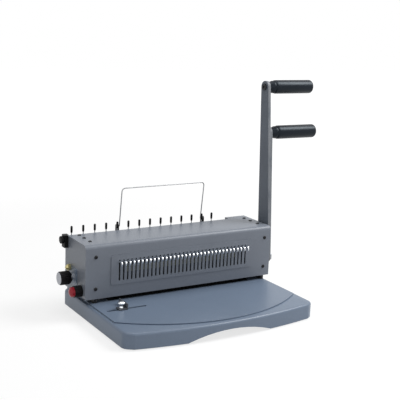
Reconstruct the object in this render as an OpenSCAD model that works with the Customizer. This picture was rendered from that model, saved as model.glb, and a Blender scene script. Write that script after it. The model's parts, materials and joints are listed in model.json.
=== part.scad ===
// Desk-top comb binding machine with a long punching lever and a short comb lever.
// Working axes: x = 0 at the left end of the body, y = 0 at its front face,
// z = 0 at its bottom edge. to_frame() then sets the origin under the middle of the machine.

/* [Body] */
// Length of the body
body_l = 410; // [396:1:440]
// Depth of the body
body_d = 100; // [98:1:106]
// Height of the body
body_h = 103; // [102:1:112]
// Thickness of the cover's sheet metal
sheet_t = 1.5; // [1:0.1:1.8]
// Outer radius of the bend between top and front
bend_r = 8; // [4:0.5:12]
// How far the end covers sit inside the ends of the top cover
end_inset = 2; // [1:0.5:4]

/* [Side plates] */
// Thickness of the two steel side plates
plate_t = 6; // [5:0.5:7]
// Distance from the left end to the middle of the left plate
left_plate_in = 20.5; // [18:0.5:22]
// Distance from the right end to the middle of the right plate
right_plate_in = 14.5; // [13:0.5:17]

/* [Base] */
// Length of the base
base_l = 403; // [398:1:420]
// How far the base starts to the right of the body's left end
base_in = 4; // [0:0.5:8]
// How far the front of the base reaches ahead of the body
base_front = 181; // [160:1:210]
// How far the base reaches behind the body
base_behind = 18; // [14:1:30]
// Height of the base from the skirt's edge to the table
base_h = 31; // [30:0.5:38]
// Radius of the bowed front edge
base_front_r = 920; // [700:10:1500]
// Radius of the base's upright corners
base_corner_r = 16; // [8:1:20]
// Radius of the base's upper edge
base_edge_r = 5; // [2:0.5:7]
// Wall of the base shell
base_wall = 2.5; // [2:0.1:3]
// Thickness of the raised table plate
table_t = 2.2; // [1.5:0.1:3]
// Radius of the table plate's front edge
table_r = 310; // [280:5:340]
// Distance of the table plate's front edge behind the base's front edge
table_in = 11; // [8:1:20]
// Margin of the table plate inside the base's sides
table_margin = 7; // [7:0.5:10]
// Width of the arch in the front skirt
arch_w = 175; // [120:1:200]
// Height of the arch in the front skirt
arch_h = 15; // [8:0.5:16]
// Radius of a rubber foot
foot_r = 9; // [6:0.5:10]
// How far the feet stand below the skirt
foot_proud = 2; // [1:0.5:4]
// How far the feet reach up inside the skirt
foot_in = 2; // [1:0.5:3]
// Inset of the feet from the sides of the base
foot_side_in = 22; // [21:1:24]
// Inset of the feet from the rear and from the ends of the front edge
foot_end_in = 24; // [21:1:40]

/* [Throat and die] */
// Height of the paper throat between body and table
throat_h = 8.5; // [6:0.5:10]
// Width of a square punch
punch_w = 4; // [3:0.1:4.2]
// Gap between a punch and its hole, each side
punch_gap = 0.15; // [0.12:0.01:0.25]
// Distance of the punches behind the front face
punch_y = 15; // [14.5:0.1:15.5]
// Thickness of the punch guide bar
guide_t = 8; // [6:0.5:8.5]
// Depth of the punch guide bar and of the die, front to rear
die_d = 16; // [14:0.5:16.5]
// Thickness of the die
die_t = 8; // [6:0.5:8.5]
// Length of the die's end ears
die_ear = 12; // [8:0.5:13]
// How far the punch tips stay inside the guide bar at rest
punch_tip_in = 1; // [0.5:0.1:3]

/* [Comb plate] */
// Number of slots, hooks and punches
slot_n = 34; // [30:1:34]
// Pitch of the slots
slot_pitch = 8.5; // [8:0.1:8.6]
// Middle of the row of slots from the left end
slot_mid = 208.5; // [206:0.5:211]
// Width of a slot
slot_w = 3.2; // [3:0.1:4]
// Height of the slots' lower ends above the body's bottom
slot_z = 30; // [28:0.5:32]
// Height of a slot
slot_h = 40.5; // [40:0.5:43]
// Width of the raised comb plate
comb_l = 315; // [312:1:322]
// Height of the raised comb plate
comb_h = 57; // [54:0.5:60]
// How far the comb plate stands proud of the cover
comb_t = 1.2; // [0.8:0.1:2]
// Corner radius of the comb plate
comb_corner_r = 4; // [2:0.5:6]

/* [Hooks] */
// Width of a hook
hook_w = 2.4; // [1.6:0.1:2.4]
// Height of a hook's finger
hook_t = 2.8; // [2:0.1:3]
// Reach of the hooks in front of the body
hook_out = 13; // [10:0.5:16]
// Drop of a hook's bent tip below the finger's upper edge
hook_drop = 8; // [6.5:0.5:9]
// Gap between the hooks and the slots' upper ends
hook_head_gap = 1.8; // [1.5:0.1:3]
// Thickness of the hook bar
hook_bar_t = 3; // [2.5:0.1:3.2]
// Height of the hook bar
hook_bar_h = 25; // [20:1:26]
// Gap between the hook bar and the sheet in front of it
hook_bar_gap = 0.7; // [0.5:0.1:0.9]

/* [Drive] */
// Distance of both lever shafts behind the front face
shaft_y = 30; // [29.8:0.1:30.4]
// Height of the punching lever's shaft
punch_shaft_z = 60; // [58:0.5:62]
// Height of the comb lever's shaft
comb_shaft_z = 30; // [28:0.5:31]
// Radius of both shafts
shaft_r = 6; // [5:0.1:6]
// Module of the gear teeth
gear_m = 1.5; // [1.48:0.01:1.52]
// Teeth of the pinions on the punching shaft
punch_teeth = 14; // [14:1:14]
// Teeth of the pinions on the comb shaft
comb_teeth = 24; // [24:1:24]
// Width of the pinions and racks
gear_w = 10; // [6:0.5:11]
// Play between the teeth at the pitch line
backlash = 0.24; // [0.16:0.02:0.4]
// Distance of the comb pinions inside the side plates
comb_gear_in = 10.5; // [10.5:0.5:11]
// Distance of the punch racks inside the ends of the punch beam
punch_gear_in = 44; // [30:1:60]
// Swing of both levers in degrees
lever_swing = 75; // [60:1:75]
// Height of the punch beam
beam_h = 12; // [10:0.5:13]
// Height of the beam's lower face at rest
beam_z = 34; // [33:0.5:35]
// Depth of the punch beam, front to rear
beam_d = 10; // [9:0.5:11]
// Length of the beam beyond the row of slots, each end
beam_over = 22; // [20:0.5:22]
// Radius of the beam's guide rods
rod_r = 4; // [3:0.1:4.4]
// Distance of the rods inside the ends of the beam
rod_in = 8; // [7:0.5:10]
// Height of the tie bar that holds the rods' upper ends
tie_h = 6; // [5:0.5:8]
// Wire of the return springs
spring_wire = 1.4; // [1:0.1:1.6]
// Turns of a return spring
spring_turns = 7; // [5:1:8]
// Running clearance of shafts and rods, radial
run_gap = 0.05; // [0.02:0.01:0.09]
// Clearance of seated pieces, radial
seat_gap = 0.02; // [0.01:0.01:0.04]
// Clearance between pieces that slide past each other
slide_gap = 0.3; // [0.2:0.05:0.4]

/* [Levers] */
// Gap between the right end of the body and the punching arm
arm_gap = 3.5; // [2:0.5:6]
// Thickness of a lever arm
arm_t = 6; // [5:0.5:8]
// Gap between the two arms
arm_apart = 1; // [0.5:0.1:2]
// Radius of the punching arm around its shaft
punch_hub_r = 19; // [15:0.5:20]
// Radius of the punching arm's upper end
punch_tip_r = 12.5; // [10:0.5:14]
// Distance of the punching arm's upper end behind its shaft
punch_lean = 24; // [0:1:30]
// Height of the punching arm's upper end above its shaft
punch_reach = 321; // [300:1:340]
// Radius of the comb arm around its shaft
comb_hub_r = 13; // [10:0.5:16]
// Radius of the comb arm's upper end
comb_tip_r = 11.5; // [9:0.5:13]
// Distance of the comb arm's upper end behind its shaft
comb_lean = 17; // [0:1:24]
// Height of the comb arm's upper end above its shaft
comb_reach = 258.5; // [230:0.5:270]
// Length of the punching lever's grip
punch_grip_l = 114.5; // [100:0.5:130]
// Length of the comb lever's grip
comb_grip_l = 117.5; // [100:0.5:130]
// Radius of the grips
grip_r = 14; // [12:0.5:16]
// Radius of the grips' necks
neck_r = 11; // [9:0.5:11.5]
// Length of the grips' necks
neck_l = 15; // [10:0.5:20]
// Radius of the grip bolts
grip_bolt_r = 4; // [3:0.1:5]

/* [Left end] */
// Distance of the margin knob behind the front face
knob_y = 64; // [62:0.5:66]
// Height of the margin knob
knob_z = 27; // [26:0.5:30]
// Radius of the margin knob
knob_r = 13; // [11:0.5:14]
// Length of the margin knob
knob_l = 21; // [16:0.5:24]
// Distance of the knob's face from the body's left end
knob_out = 26; // [25:0.5:30]
// Radius of the knob's shaft
knob_shaft_r = 4; // [3:0.1:4.5]
// Least radius of the margin cam
cam_r = 7; // [6:0.5:8]
// Rise of the margin cam over its turn
cam_rise = 4; // [2:0.1:4.5]
// Turn of the margin knob in degrees
cam_turn = 270; // [240:5:280]
// Radius of the brass nut, across its corners
brass_r = 6.5; // [5:0.5:8]
// Distance of the red button behind the front face
button_y = 24; // [22:0.5:26]
// Height of the red button
button_z = 11.5; // [11.5:0.5:13]
// Outer radius of the button's barrel
barrel_r = 10.8; // [9:0.1:11]
// Radius of the red button
button_r = 9.3; // [8:0.1:9.6]
// Distance of the button's face from the body's left end
button_out = 22; // [18:0.5:24]
// Travel of the button
button_travel = 4; // [2:0.5:5]

/* [Pin rail] */
// Distance of the rail's axis behind the front face
rail_y = 91.5; // [90:0.5:92]
// Distance of the rail's axis below the body's top
rail_down = 9.5; // [9.4:0.1:10.5]
// Radius of the rail
rail_r = 6; // [5:0.1:6.2]
// Right end of the rail from the left end of the body
rail_end = 358; // [350:1:368]
// Number of pins
pin_n = 14; // [8:1:14]
// Pitch of the pins
pin_pitch = 24; // [22:0.1:24.2]
// First pin from the left end of the body
pin_first = 10.7; // [9.5:0.1:11.5]
// Radius of a pin's stem
pin_stem_r = 0.9; // [0.7:0.1:1.3]
// Radius of a pin's cap
pin_cap_r = 1.9; // [1.6:0.1:2.4]
// Length of a pin's cap
pin_cap_l = 11.5; // [8:0.5:14]
// Height of the caps' lower ends above the rail
pin_stem_out = 7.5; // [5:0.5:9]

/* [Wire rest] */
// Radius of the wire
wire_r = 1.1; // [0.8:0.1:1.4]
// Left leg from the left end of the body
wire_left = 117; // [116:0.5:119]
// Width of the wire rest between its legs
wire_w = 186.5; // [184:0.5:188]
// Height of the wire rest above its pivot
wire_h = 78; // [60:1:100]
// Bend radius of the wire's upper corners
wire_bend_r = 7; // [4:0.5:12]
// Forward lean of the wire rest in degrees
wire_lean = 7; // [0:1:12]
// Distance of the wire's pivot behind the body
wire_pivot_out = 4; // [3.5:0.5:6]
// Height of the wire's pivot above the body's top
wire_pivot_up = 3; // [1:0.5:6]

/* [Side guide] */
// Middle of the guide from the left end of the body
guide_x = 51; // [48:0.5:60]
// Distance of the guide's slot ahead of the body
guide_front = 47; // [44:1:60]
// Travel of the guide to the left
guide_left = 26; // [10:1:26]
// Travel of the guide to the right
guide_right = 48; // [20:1:60]
// Radius of the guide's clamping stem
stem_r = 2.5; // [2:0.1:3]
// Radius of the thumb knob
thumb_r = 7; // [5:0.5:8]
// Height of the thumb knob above the guide
thumb_h = 13; // [10:0.5:16]
// Length of the guide's fence
fence_l = 34; // [24:1:40]
// Height of the fence
fence_h = 11; // [6:0.5:14]

/* [Chip tray] */
// Width of the chip tray
tray_w = 307; // [296:1:310]
// Height of the chip tray
tray_h = 18.5; // [14:0.5:18.8]
// Wall of the chip tray
tray_wall = 1.8; // [1.2:0.1:2.4]
// Front of the tray from the body's front face
tray_y = 1; // [0:0.5:4]

/* [Hidden] */
$fn = 48;
eps = 0.01;

// Paint and material colours
grey_paint = [0.42, 0.43, 0.46];
base_paint = [0.42, 0.45, 0.50];
dark_paint = [0.30, 0.32, 0.36];
grip_black = [0.09, 0.10, 0.14];
plain_black = [0.06, 0.06, 0.07];
steel = [0.62, 0.63, 0.65];
chrome_bright = [0.85, 0.86, 0.88];
brass = [0.72, 0.60, 0.28];
olive_steel = [0.45, 0.45, 0.40];
signal_red = [0.72, 0.08, 0.12];

// Levels
table_z = -throat_h;
shell_z = table_z - table_t;
skirt_z = table_z - base_h;
floor_z = skirt_z - foot_proud;
under_z = shell_z - base_wall;
top_in = body_h - sheet_t;

// Plan of the base
base_x0 = base_in;
base_x1 = base_in + base_l;
base_mid = (base_x0 + base_x1) / 2;
base_y0 = -base_front;
base_y1 = body_d + base_behind;
base_side_y = base_y0 + base_front_r - sqrt(pow(base_front_r, 2) - pow(base_l / 2, 2));
foot_at = [for (x = [base_x0 + foot_side_in, base_x1 - foot_side_in],
                y = [base_side_y + foot_end_in, base_y1 - foot_end_in]) [x, y]];
boss_wall = 2;

// Side plates and what stands between them
left_x0 = left_plate_in - plate_t / 2;
left_x1 = left_plate_in + plate_t / 2;
right_x0 = body_l - right_plate_in - plate_t / 2;
right_x1 = body_l - right_plate_in + plate_t / 2;
plate_y0 = sheet_t;
plate_y1 = body_d - sheet_t;

// Row of slots, hooks and punches
slot_first = slot_mid - (slot_n - 1) * slot_pitch / 2;
slot_xs = [for (i = [0:slot_n - 1]) slot_first + i * slot_pitch];
slot_last = slot_xs[slot_n - 1];

// Gears: stub teeth on a 20 degree rack
pressure = 20;
tooth_add = 0.75 * gear_m;
tooth_ded = 1.0 * gear_m;
punch_pitch_r = gear_m * punch_teeth / 2;
comb_pitch_r = gear_m * comb_teeth / 2;
tooth_pitch = PI * gear_m;
swing_rad = lever_swing * PI / 180;
punch_travel = punch_pitch_r * swing_rad;
comb_travel = comb_pitch_r * swing_rad;

// Punch beam
beam_x0 = slot_first - beam_over;
beam_x1 = slot_last + beam_over;
beam_y0 = punch_y - beam_d / 2;
rod_xs = [beam_x0 + rod_in, beam_x1 - rod_in];
punch_rack_xs = [beam_x0 + punch_gear_in, beam_x1 - punch_gear_in];
rack_grip = 1.6 * tooth_pitch;
rod_seat = 5;
tie_gap = 1;
tie_z = top_in - tie_h - tie_gap;
rod_top = tie_z + rod_seat - 1;

// Hook bar
bar_y0 = sheet_t + hook_bar_gap;
bar_y1 = bar_y0 + hook_bar_t;
hook_top = slot_z + slot_h - hook_head_gap;
hook_bar_rim = 1.4;
bar_z1 = hook_top + hook_bar_rim;
bar_z0 = bar_z1 - hook_bar_h;
channel_w = 8;
channel_lip = 4;
bar_x0 = left_x1 + channel_w - channel_lip;
bar_x1 = right_x0 - channel_w + channel_lip;
comb_rack_xs = [left_x1 + comb_gear_in, right_x0 - comb_gear_in - gear_w];
comb_rack_z0 = comb_shaft_z - tooth_pitch;
rack_clear_y = shaft_y - comb_pitch_r + tooth_add + 1.5;

// Levers
bush_out_r = shaft_r + 2;
bolt_in_grip = 58;
bolt_end_gap = 2;
bolt_head_l = 2.5;
punch_arm_x = body_l + arm_gap;
comb_arm_x = punch_arm_x + arm_t + arm_apart;
shaft_x0 = left_x0 - 2;
punch_tip = [shaft_y + punch_lean, punch_shaft_z + punch_reach];
comb_tip = [shaft_y + comb_lean, comb_shaft_z + comb_reach];
grip_end_x = max(punch_arm_x + arm_t + punch_grip_l, comb_arm_x + arm_t + comb_grip_l);
hub_nut_l = 6;
hub_nut_r = shaft_r + 5;

// Screws
screw_r = 2;
screw_head_r = 3.6;
screw_head_h = 1.8;
screw_l = 9;
front_screw_up = 19.2;
front_screw_down = 23;
front_screw_zs = [front_screw_up, body_h - front_screw_down];
top_screw_ys = [27.5, 54, 77];
plate_xs = [left_plate_in, body_l - right_plate_in];

// Left end
end_x0 = end_inset;
end_x1 = end_inset + sheet_t;
right_end_x1 = body_l - end_inset;
dial_t = 0.8;
dial_size = [36, 34];
dial_shift = [-4, 3];
bush_r = 8.5;
bush_seat_r = bush_r - 2;
brass_at = [knob_y + 11, knob_z + 16.5];
cap_t = 1;
cam_w = 5;
cam_x = left_x1 + 1.5;
barrel_out = 13;
barrel_seat_r = barrel_r - 2;
barrel_floor = 2;
button_play = 0.2;

// Pin rail
rail_z = body_h - rail_down;
rail_x0 = end_x1 + 1;
journal_r = 4;
rail_block_out = 6;
rail_knob_l = 6;
rail_knob_r = 9;
rail_bay_y = rail_y - rail_r - 0.6;
rail_bay_x = rail_end + 4;
rear_low_z = rail_z - 15;
trough_t = 1.5;
pin_seat = 4;
pin_xs = [for (i = [0:pin_n - 1]) pin_first + i * pin_pitch];

// Wire rest
wire_y = body_d + wire_pivot_out;
wire_z = body_h + wire_pivot_up;
ear_t = 5;
ear_gap = 0.9;
ear_r = 4;
bracket_t = 2;
bracket_w = 12;
bracket_h = 38;

// Side guide
guide_y = -guide_front;
guide_slot_w = 2 * stem_r + 1;
fence_t = 2.2;
shoe_t = 2.4;
shoe_w = 15;
fence_gap = 0.6;
nut_h = 4;

// Chip tray
tray_x0 = slot_mid - tray_w / 2;
tray_z1 = table_z - die_t - 1;
tray_z0 = tray_z1 - tray_h;
runner_t = 1.5;
runner_lip = 9;

// Middle of the machine on the floor
mid_x = (grip_end_x - knob_out) / 2;
mid_y = (base_y0 + base_y1) / 2;

module to_frame() {
    translate([-mid_x, -mid_y, -floor_z]) children();
}

// Extrudes a y-z outline along x
module along_x(x0, l) {
    translate([x0, 0, 0]) rotate([90, 0, 90]) linear_extrude(l) children();
}

// Round bar along x at a y-z point
module rod_x(x0, l, at, r) {
    along_x(x0, l) translate(at) circle(r);
}

// Box between two corners
module block(a, b) {
    translate(a) cube(b - a);
}

// Rectangle with rounded corners, from its lower left corner
module round_rect(size, r) {
    translate([r, 0]) square([size[0] - 2 * r, size[1]]);
    translate([0, r]) square([size[0], size[1] - 2 * r]);
    for (x = [r, size[0] - r], y = [r, size[1] - r]) translate([x, y]) circle(r);
}

// Straight slot with round ends, along the first axis
module slot_2d(l, w) {
    translate([-(l - w) / 2, -w / 2]) square([l - w, w]);
    for (s = [-1, 1]) translate([s * (l - w) / 2, 0]) circle(w / 2);
}

// Flat bar that tapers between two round ends, which stand a hair proud of its flanks
module tapered_bar(p, r, q, s) {
    flank_in = 0.05;
    d = norm(q - p);
    way = atan2(q[1] - p[1], q[0] - p[0]);
    lean = acos((r - s) / d);
    function tangent(c, rad, a) = c + (rad - flank_in) * [cos(a), sin(a)];
    polygon([tangent(p, r, way + lean), tangent(p, r, way - lean),
             tangent(q, s, way - lean), tangent(q, s, way + lean)]);
    translate(p) circle(r);
    translate(q) circle(s);
}

// Involute gear outline with a gap facing the rack in front of it
function involute(a) = tan(a) * 180 / PI - a;
function flank(base_r, pitch_r, half, rho) =
    half + involute(pressure) - involute(acos(min(1, base_r / rho)));
module pinion_2d(teeth, bore_r) {
    pitch_r = gear_m * teeth / 2;
    base_r = pitch_r * cos(pressure);
    root_r = pitch_r - tooth_ded;
    tip_r = pitch_r + tooth_add;
    half = 90 / teeth - backlash / 4 / pitch_r * 180 / PI;
    low_r = max(base_r, root_r);
    rise = [for (i = [0:4]) low_r + (tip_r - low_r) * i / 4];
    side = concat([[root_r, flank(base_r, pitch_r, half, low_r)]],
                  [for (rho = rise) [rho, flank(base_r, pitch_r, half, rho)]]);
    last = len(side) - 1;
    function at(c, p, s) = p[0] * [cos(c + s * p[1]), sin(c + s * p[1])];
    difference() {
        polygon([for (i = [0:teeth - 1]) let (c = 180 + (i + 0.5) * 360 / teeth)
            each concat([for (p = side) at(c, p, -1)], [for (k = [last:-1:0]) at(c, side[k], 1)])]);
        circle(bore_r);
    }
}

// Rack outline in front of a shaft; a tooth lies at the shaft's height
module rack_2d(pitch_y, back_y, z0, z1, shaft_z) {
    root_y = pitch_y - tooth_ded;
    tip_y = pitch_y + tooth_add;
    half = tooth_pitch / 4 - backlash / 4;
    root_half = half + tooth_ded * tan(pressure);
    tip_half = half - tooth_add * tan(pressure);
    translate([back_y, z0]) square([root_y - back_y, z1 - z0]);
    for (j = [ceil((z0 + root_half - shaft_z) / tooth_pitch):
              floor((z1 - root_half - shaft_z) / tooth_pitch)])
        translate([0, shaft_z + j * tooth_pitch])
            polygon([[root_y - eps, -root_half], [root_y, -root_half], [tip_y, -tip_half],
                     [tip_y, tip_half], [root_y, root_half], [root_y - eps, root_half]]);
}

// Plan of the base, drawn in by an inset
module base_plan(inset = 0) {
    r = base_corner_r - inset;
    front_r = base_front_r - inset;
    intersection() {
        translate([base_x0 + inset, base_y0 + inset])
            square([base_l - 2 * inset, base_y1 - base_y0 - 2 * inset]);
        hull() {
            intersection() {
                translate([base_mid, base_y0 + base_front_r]) circle(front_r, $fn = 720);
                translate([base_x0 + base_corner_r, base_y0])
                    square([base_l - 2 * base_corner_r, base_front]);
            }
            for (x = [base_x0 + base_corner_r, base_x1 - base_corner_r]) {
                translate([x, base_side_y + base_corner_r]) circle(r, $fn = 32);
                translate([x, base_y1 - base_corner_r]) circle(r, $fn = 32);
            }
        }
    }
}

// Plan of the raised table plate
module table_plan() {
    intersection() {
        translate([base_x0 + table_margin, base_y0])
            square([base_l - 2 * table_margin, base_y1 - base_y0 - table_margin]);
        translate([base_mid, base_y0 + table_in + table_r]) circle(table_r, $fn = 240);
    }
}

// Plan of the slot that the side guide's stem runs in
module guide_slot_plan() {
    run = guide_left + guide_right + guide_slot_w;
    translate([guide_x + (guide_right - guide_left) / 2, guide_y]) slot_2d(run, guide_slot_w);
}

// Inverted pan with a bowed front, an arch in its skirt and bosses for the feet
module base_shell() color(base_paint) to_frame() {
    arch_r = (pow(arch_w / 2, 2) + pow(arch_h, 2)) / (2 * arch_h);
    arch_cut = 40;
    difference() {
        union() {
            difference() {
                hull() {
                    translate([0, 0, skirt_z]) linear_extrude(shell_z - base_edge_r - skirt_z) base_plan();
                    for (a = [0:18:90])
                        translate([0, 0, shell_z - base_edge_r + base_edge_r * sin(a) - eps])
                            linear_extrude(eps) base_plan(base_edge_r * (1 - cos(a)));
                }
                translate([0, 0, skirt_z - 1]) linear_extrude(under_z - skirt_z + 1) base_plan(base_wall);
            }
            for (p = foot_at) translate([p[0], p[1], skirt_z + foot_in])
                cylinder(r = foot_r + boss_wall, h = under_z - skirt_z - foot_in + eps);
        }
        translate([base_mid, base_y0 + arch_cut, skirt_z + arch_h - arch_r]) rotate([90, 0, 0])
            cylinder(r = arch_r, h = 2 * arch_cut, $fn = 96);
        block([slot_mid - comb_l / 2 + die_ear, punch_y - die_d / 2 - slide_gap, under_z - 1],
              [slot_mid + comb_l / 2 - die_ear, punch_y + die_d / 2 + slide_gap, shell_z + 1]);
        block([tray_x0 - slide_gap, base_y1 - base_wall - 1, skirt_z - 1],
              [tray_x0 + tray_w + slide_gap, base_y1 + 1, tray_z1 + slide_gap]);
        translate([0, 0, under_z - 1]) linear_extrude(base_wall + 2) guide_slot_plan();
    }
}

module table_plate() color(base_paint) to_frame() {
    difference() {
        translate([0, 0, shell_z]) linear_extrude(table_t) table_plan();
        block([slot_mid - comb_l / 2 - slide_gap, punch_y - die_d / 2 - slide_gap, shell_z - 1],
              [slot_mid + comb_l / 2 + slide_gap, punch_y + die_d / 2 + slide_gap, table_z + 1]);
        translate([0, 0, shell_z - 1]) linear_extrude(table_t + 2) guide_slot_plan();
    }
}

module feet() color(plain_black) to_frame() {
    for (p = foot_at) translate([p[0], p[1], floor_z])
        cylinder(r1 = foot_r - 1, r2 = foot_r, h = foot_proud + foot_in);
}

// Two angle rails that carry the chip tray under the base
module tray_runners() color(steel) to_frame() {
    web_gap = 0.4;
    y0 = tray_y;
    y1 = base_y1 - base_wall - 1;
    lip_z = tray_z0 - slide_gap;
    for (s = [0, 1]) {
        edge = s == 0 ? tray_x0 - web_gap : tray_x0 + tray_w + web_gap;
        out = s == 0 ? -runner_t : runner_t;
        in = s == 0 ? runner_lip : -runner_lip;
        block([min(edge, edge + out), y0, lip_z - runner_t], [max(edge, edge + out), y1, under_z]);
        block([min(edge, edge + in), y0, lip_z - runner_t], [max(edge, edge + in), y1, lip_z]);
    }
}

// Steel plate that carries the shafts; it stands on the table and follows the cover's bend
module side_plate(x0) {
    difference() {
        along_x(x0, plate_t) translate([plate_y0, table_z])
            bent_2d(plate_y1 - plate_y0, top_in - table_z, bend_r - sheet_t);
        for (z = [punch_shaft_z, comb_shaft_z])
            rod_x(x0 - 1, plate_t + 2, [shaft_y, z], bush_out_r + seat_gap);
        for (z = front_screw_zs) translate([x0 + plate_t / 2, plate_y0 - 1, z])
            rotate([-90, 0, 0]) cylinder(r = screw_r + seat_gap, h = screw_l + 1);
        for (y = top_screw_ys) translate([x0 + plate_t / 2, y, top_in - screw_l])
            cylinder(r = screw_r + seat_gap, h = screw_l + 1);
        children();
    }
}

// Left plate: bore of the knob's shaft, and its rear corner cut away for the trough
module left_side_plate() color(steel) to_frame() side_plate(left_x0) {
    rod_x(left_x0 - 1, plate_t + 2, [knob_y, knob_z], knob_shaft_r + run_gap);
    block([left_x0 - 1, rail_bay_y - trough_t, rear_low_z - trough_t], [left_x1 + 1, body_d, body_h]);
}

// Right plate: bore of the rail's right journal
module right_side_plate() color(steel) to_frame() side_plate(right_x0)
    rod_x(right_x0 - 1, plate_t + 2, [rail_y, rail_z], journal_r + run_gap);

// Outline of the bent cover: a rectangle with its upper front corner rounded
module bent_2d(d, h, r) {
    square([d, h - r]);
    translate([r, 0]) square([d - r, h]);
    translate([r, h - r]) circle(r);
}

module top_cover() color(grey_paint) to_frame() {
    window = 3;
    difference() {
        along_x(0, body_l) difference() {
            bent_2d(body_d, body_h, bend_r);
            translate([sheet_t, -1]) bent_2d(body_d, top_in + 1, bend_r - sheet_t);
        }
        block([slot_first - slot_w / 2 - window, -1, slot_z - window],
              [slot_last + slot_w / 2 + window, sheet_t + 1, slot_z + slot_h + window]);
        block([-1, rail_bay_y, top_in - 1], [rail_bay_x, body_d + 1, body_h + 1]);
        for (x = plate_xs, z = front_screw_zs) translate([x, -1, z])
            rotate([-90, 0, 0]) cylinder(r = screw_r + slide_gap, h = sheet_t + 2);
        for (x = plate_xs, y = top_screw_ys) translate([x, y, top_in - 1])
            cylinder(r = screw_r + slide_gap, h = sheet_t + 2);
    }
}

// Raised plate with one slot for each hook
module comb_plate() color(grey_paint) to_frame() {
    plate_up = 1.2;
    plate_z = slot_z + slot_h / 2 - comb_h / 2 + plate_up;
    rotate([90, 0, 0]) linear_extrude(comb_t) difference() {
        translate([slot_mid - comb_l / 2, plate_z]) round_rect([comb_l, comb_h], comb_corner_r);
        for (x = slot_xs) translate([x, slot_z + slot_h / 2]) rotate(90) slot_2d(slot_h, slot_w);
    }
}

// Plain end cover, held inside the bent cover
module end_cover(x0) {
    along_x(x0, sheet_t) difference() {
        translate([sheet_t, 0]) bent_2d(body_d - 2 * sheet_t, top_in, bend_r - sheet_t);
        children();
    }
}

module left_end_cover() color(grey_paint) to_frame() end_cover(end_x0) {
    translate([rail_bay_y, rear_low_z]) square([body_d, body_h]);
    translate([knob_y, knob_z]) circle(bush_seat_r);
    translate([button_y, button_z]) circle(barrel_seat_r);
    translate(brass_at) circle(screw_r + seat_gap);
}

module right_end_cover() color(grey_paint) to_frame() end_cover(right_end_x1 - sheet_t)
    for (z = [punch_shaft_z, comb_shaft_z]) translate([shaft_y, z]) circle(shaft_r + 1);

module rear_cover() color(grey_paint) to_frame() {
    difference() {
        block([end_x0, plate_y1, 0], [right_end_x1, body_d, top_in]);
        block([-1, plate_y1 - 1, rear_low_z], [rail_bay_x, body_d + 1, body_h]);
    }
}

// Round-headed screw: head on the surface, thread behind it
module cover_screw() {
    rim_h = screw_head_h / 2;
    cylinder(r = screw_head_r, h = rim_h);
    translate([0, 0, rim_h]) cylinder(r1 = screw_head_r, r2 = screw_head_r - 1, h = screw_head_h - rim_h);
    translate([0, 0, -screw_l]) cylinder(r = screw_r, h = screw_l + eps);
}

module front_screws() color(plain_black) to_frame()
    for (x = plate_xs, z = front_screw_zs) translate([x, 0, z]) rotate([90, 0, 0]) cover_screw();

module top_screws() color(plain_black) to_frame()
    for (x = plate_xs, y = top_screw_ys) translate([x, y, body_h]) cover_screw();

// Square holes under the punches
module punch_holes(z0, z1) {
    w = punch_w / 2 + punch_gap;
    for (x = slot_xs) block([x - w, punch_y - w, z0], [x + w, punch_y + w, z1]);
}

// Hardened die in the table; its ears lie on the base shell
module die_plate() color(steel) to_frame() {
    y0 = punch_y - die_d / 2;
    y1 = punch_y + die_d / 2;
    difference() {
        union() {
            block([slot_mid - comb_l / 2, y0, shell_z], [slot_mid + comb_l / 2, y1, table_z]);
            block([slot_mid - comb_l / 2 + die_ear + slide_gap, y0, table_z - die_t],
                  [slot_mid + comb_l / 2 - die_ear - slide_gap, y1, table_z]);
        }
        punch_holes(table_z - die_t - 1, table_z + 1);
    }
}

// Bar that guides the punches above the throat; notched for the comb racks
module punch_guide() color(steel) to_frame() {
    y0 = punch_y - die_d / 2;
    y1 = punch_y + die_d / 2 + 1;
    difference() {
        block([left_x1, y0, 0], [right_x0, y1, guide_t]);
        block([left_x1 - 1, y0 - 1, -1], [beam_x0 - 1, rack_clear_y, guide_t + 1]);
        block([beam_x1 + 1, y0 - 1, -1], [right_x0 + 1, rack_clear_y, guide_t + 1]);
        punch_holes(-1, guide_t + 1);
        for (x = rod_xs) translate([x, punch_y, guide_t - rod_seat])
            cylinder(r = rod_r + seat_gap, h = rod_seat + 1);
    }
}

// Bar between the side plates that holds the rods' upper ends
module tie_bar() color(steel) to_frame() {
    difference() {
        block([left_x1, beam_y0, tie_z], [right_x0, punch_y + beam_d / 2, tie_z + tie_h]);
        for (x = rod_xs) translate([x, punch_y, tie_z - 1])
            cylinder(r = rod_r + seat_gap, h = rod_top - tie_z + 1);
    }
}

module guide_rods() color(chrome_bright) to_frame()
    for (x = rod_xs) translate([x, punch_y, guide_t - rod_seat])
        cylinder(r = rod_r, h = rod_top - guide_t + rod_seat);

// Upright channels beside the side plates; the hook bar's ends run in them
module carriage_guides() color(steel) to_frame() {
    y0 = sheet_t;
    y1 = bar_y1 + 3;
    for (s = [0, 1]) {
        x0 = s == 0 ? left_x1 : right_x0 - channel_w;
        groove = s == 0 ? bar_x0 - slide_gap : right_x0 - channel_w - 1;
        difference() {
            block([x0, y0, 4], [x0 + channel_w, y1, tie_z - 1]);
            block([groove, bar_y0 - slide_gap, 3],
                  [groove + channel_lip + 1 + slide_gap, bar_y1 + slide_gap, tie_z]);
        }
    }
}

// Flanged bronze bushes of both shafts
module shaft_bushes() color(brass) to_frame() {
    flange = 1.2;
    for (z = [punch_shaft_z, comb_shaft_z], s = [0, 1]) {
        x0 = s == 0 ? left_x0 : right_x0;
        face = s == 0 ? left_x1 : right_x0 - flange;
        difference() {
            union() {
                rod_x(x0, plate_t, [shaft_y, z], bush_out_r);
                rod_x(face, flange, [shaft_y, z], bush_out_r + 2);
            }
            rod_x(x0 - 3, plate_t + 6, [shaft_y, z], shaft_r + run_gap);
        }
    }
}

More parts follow.
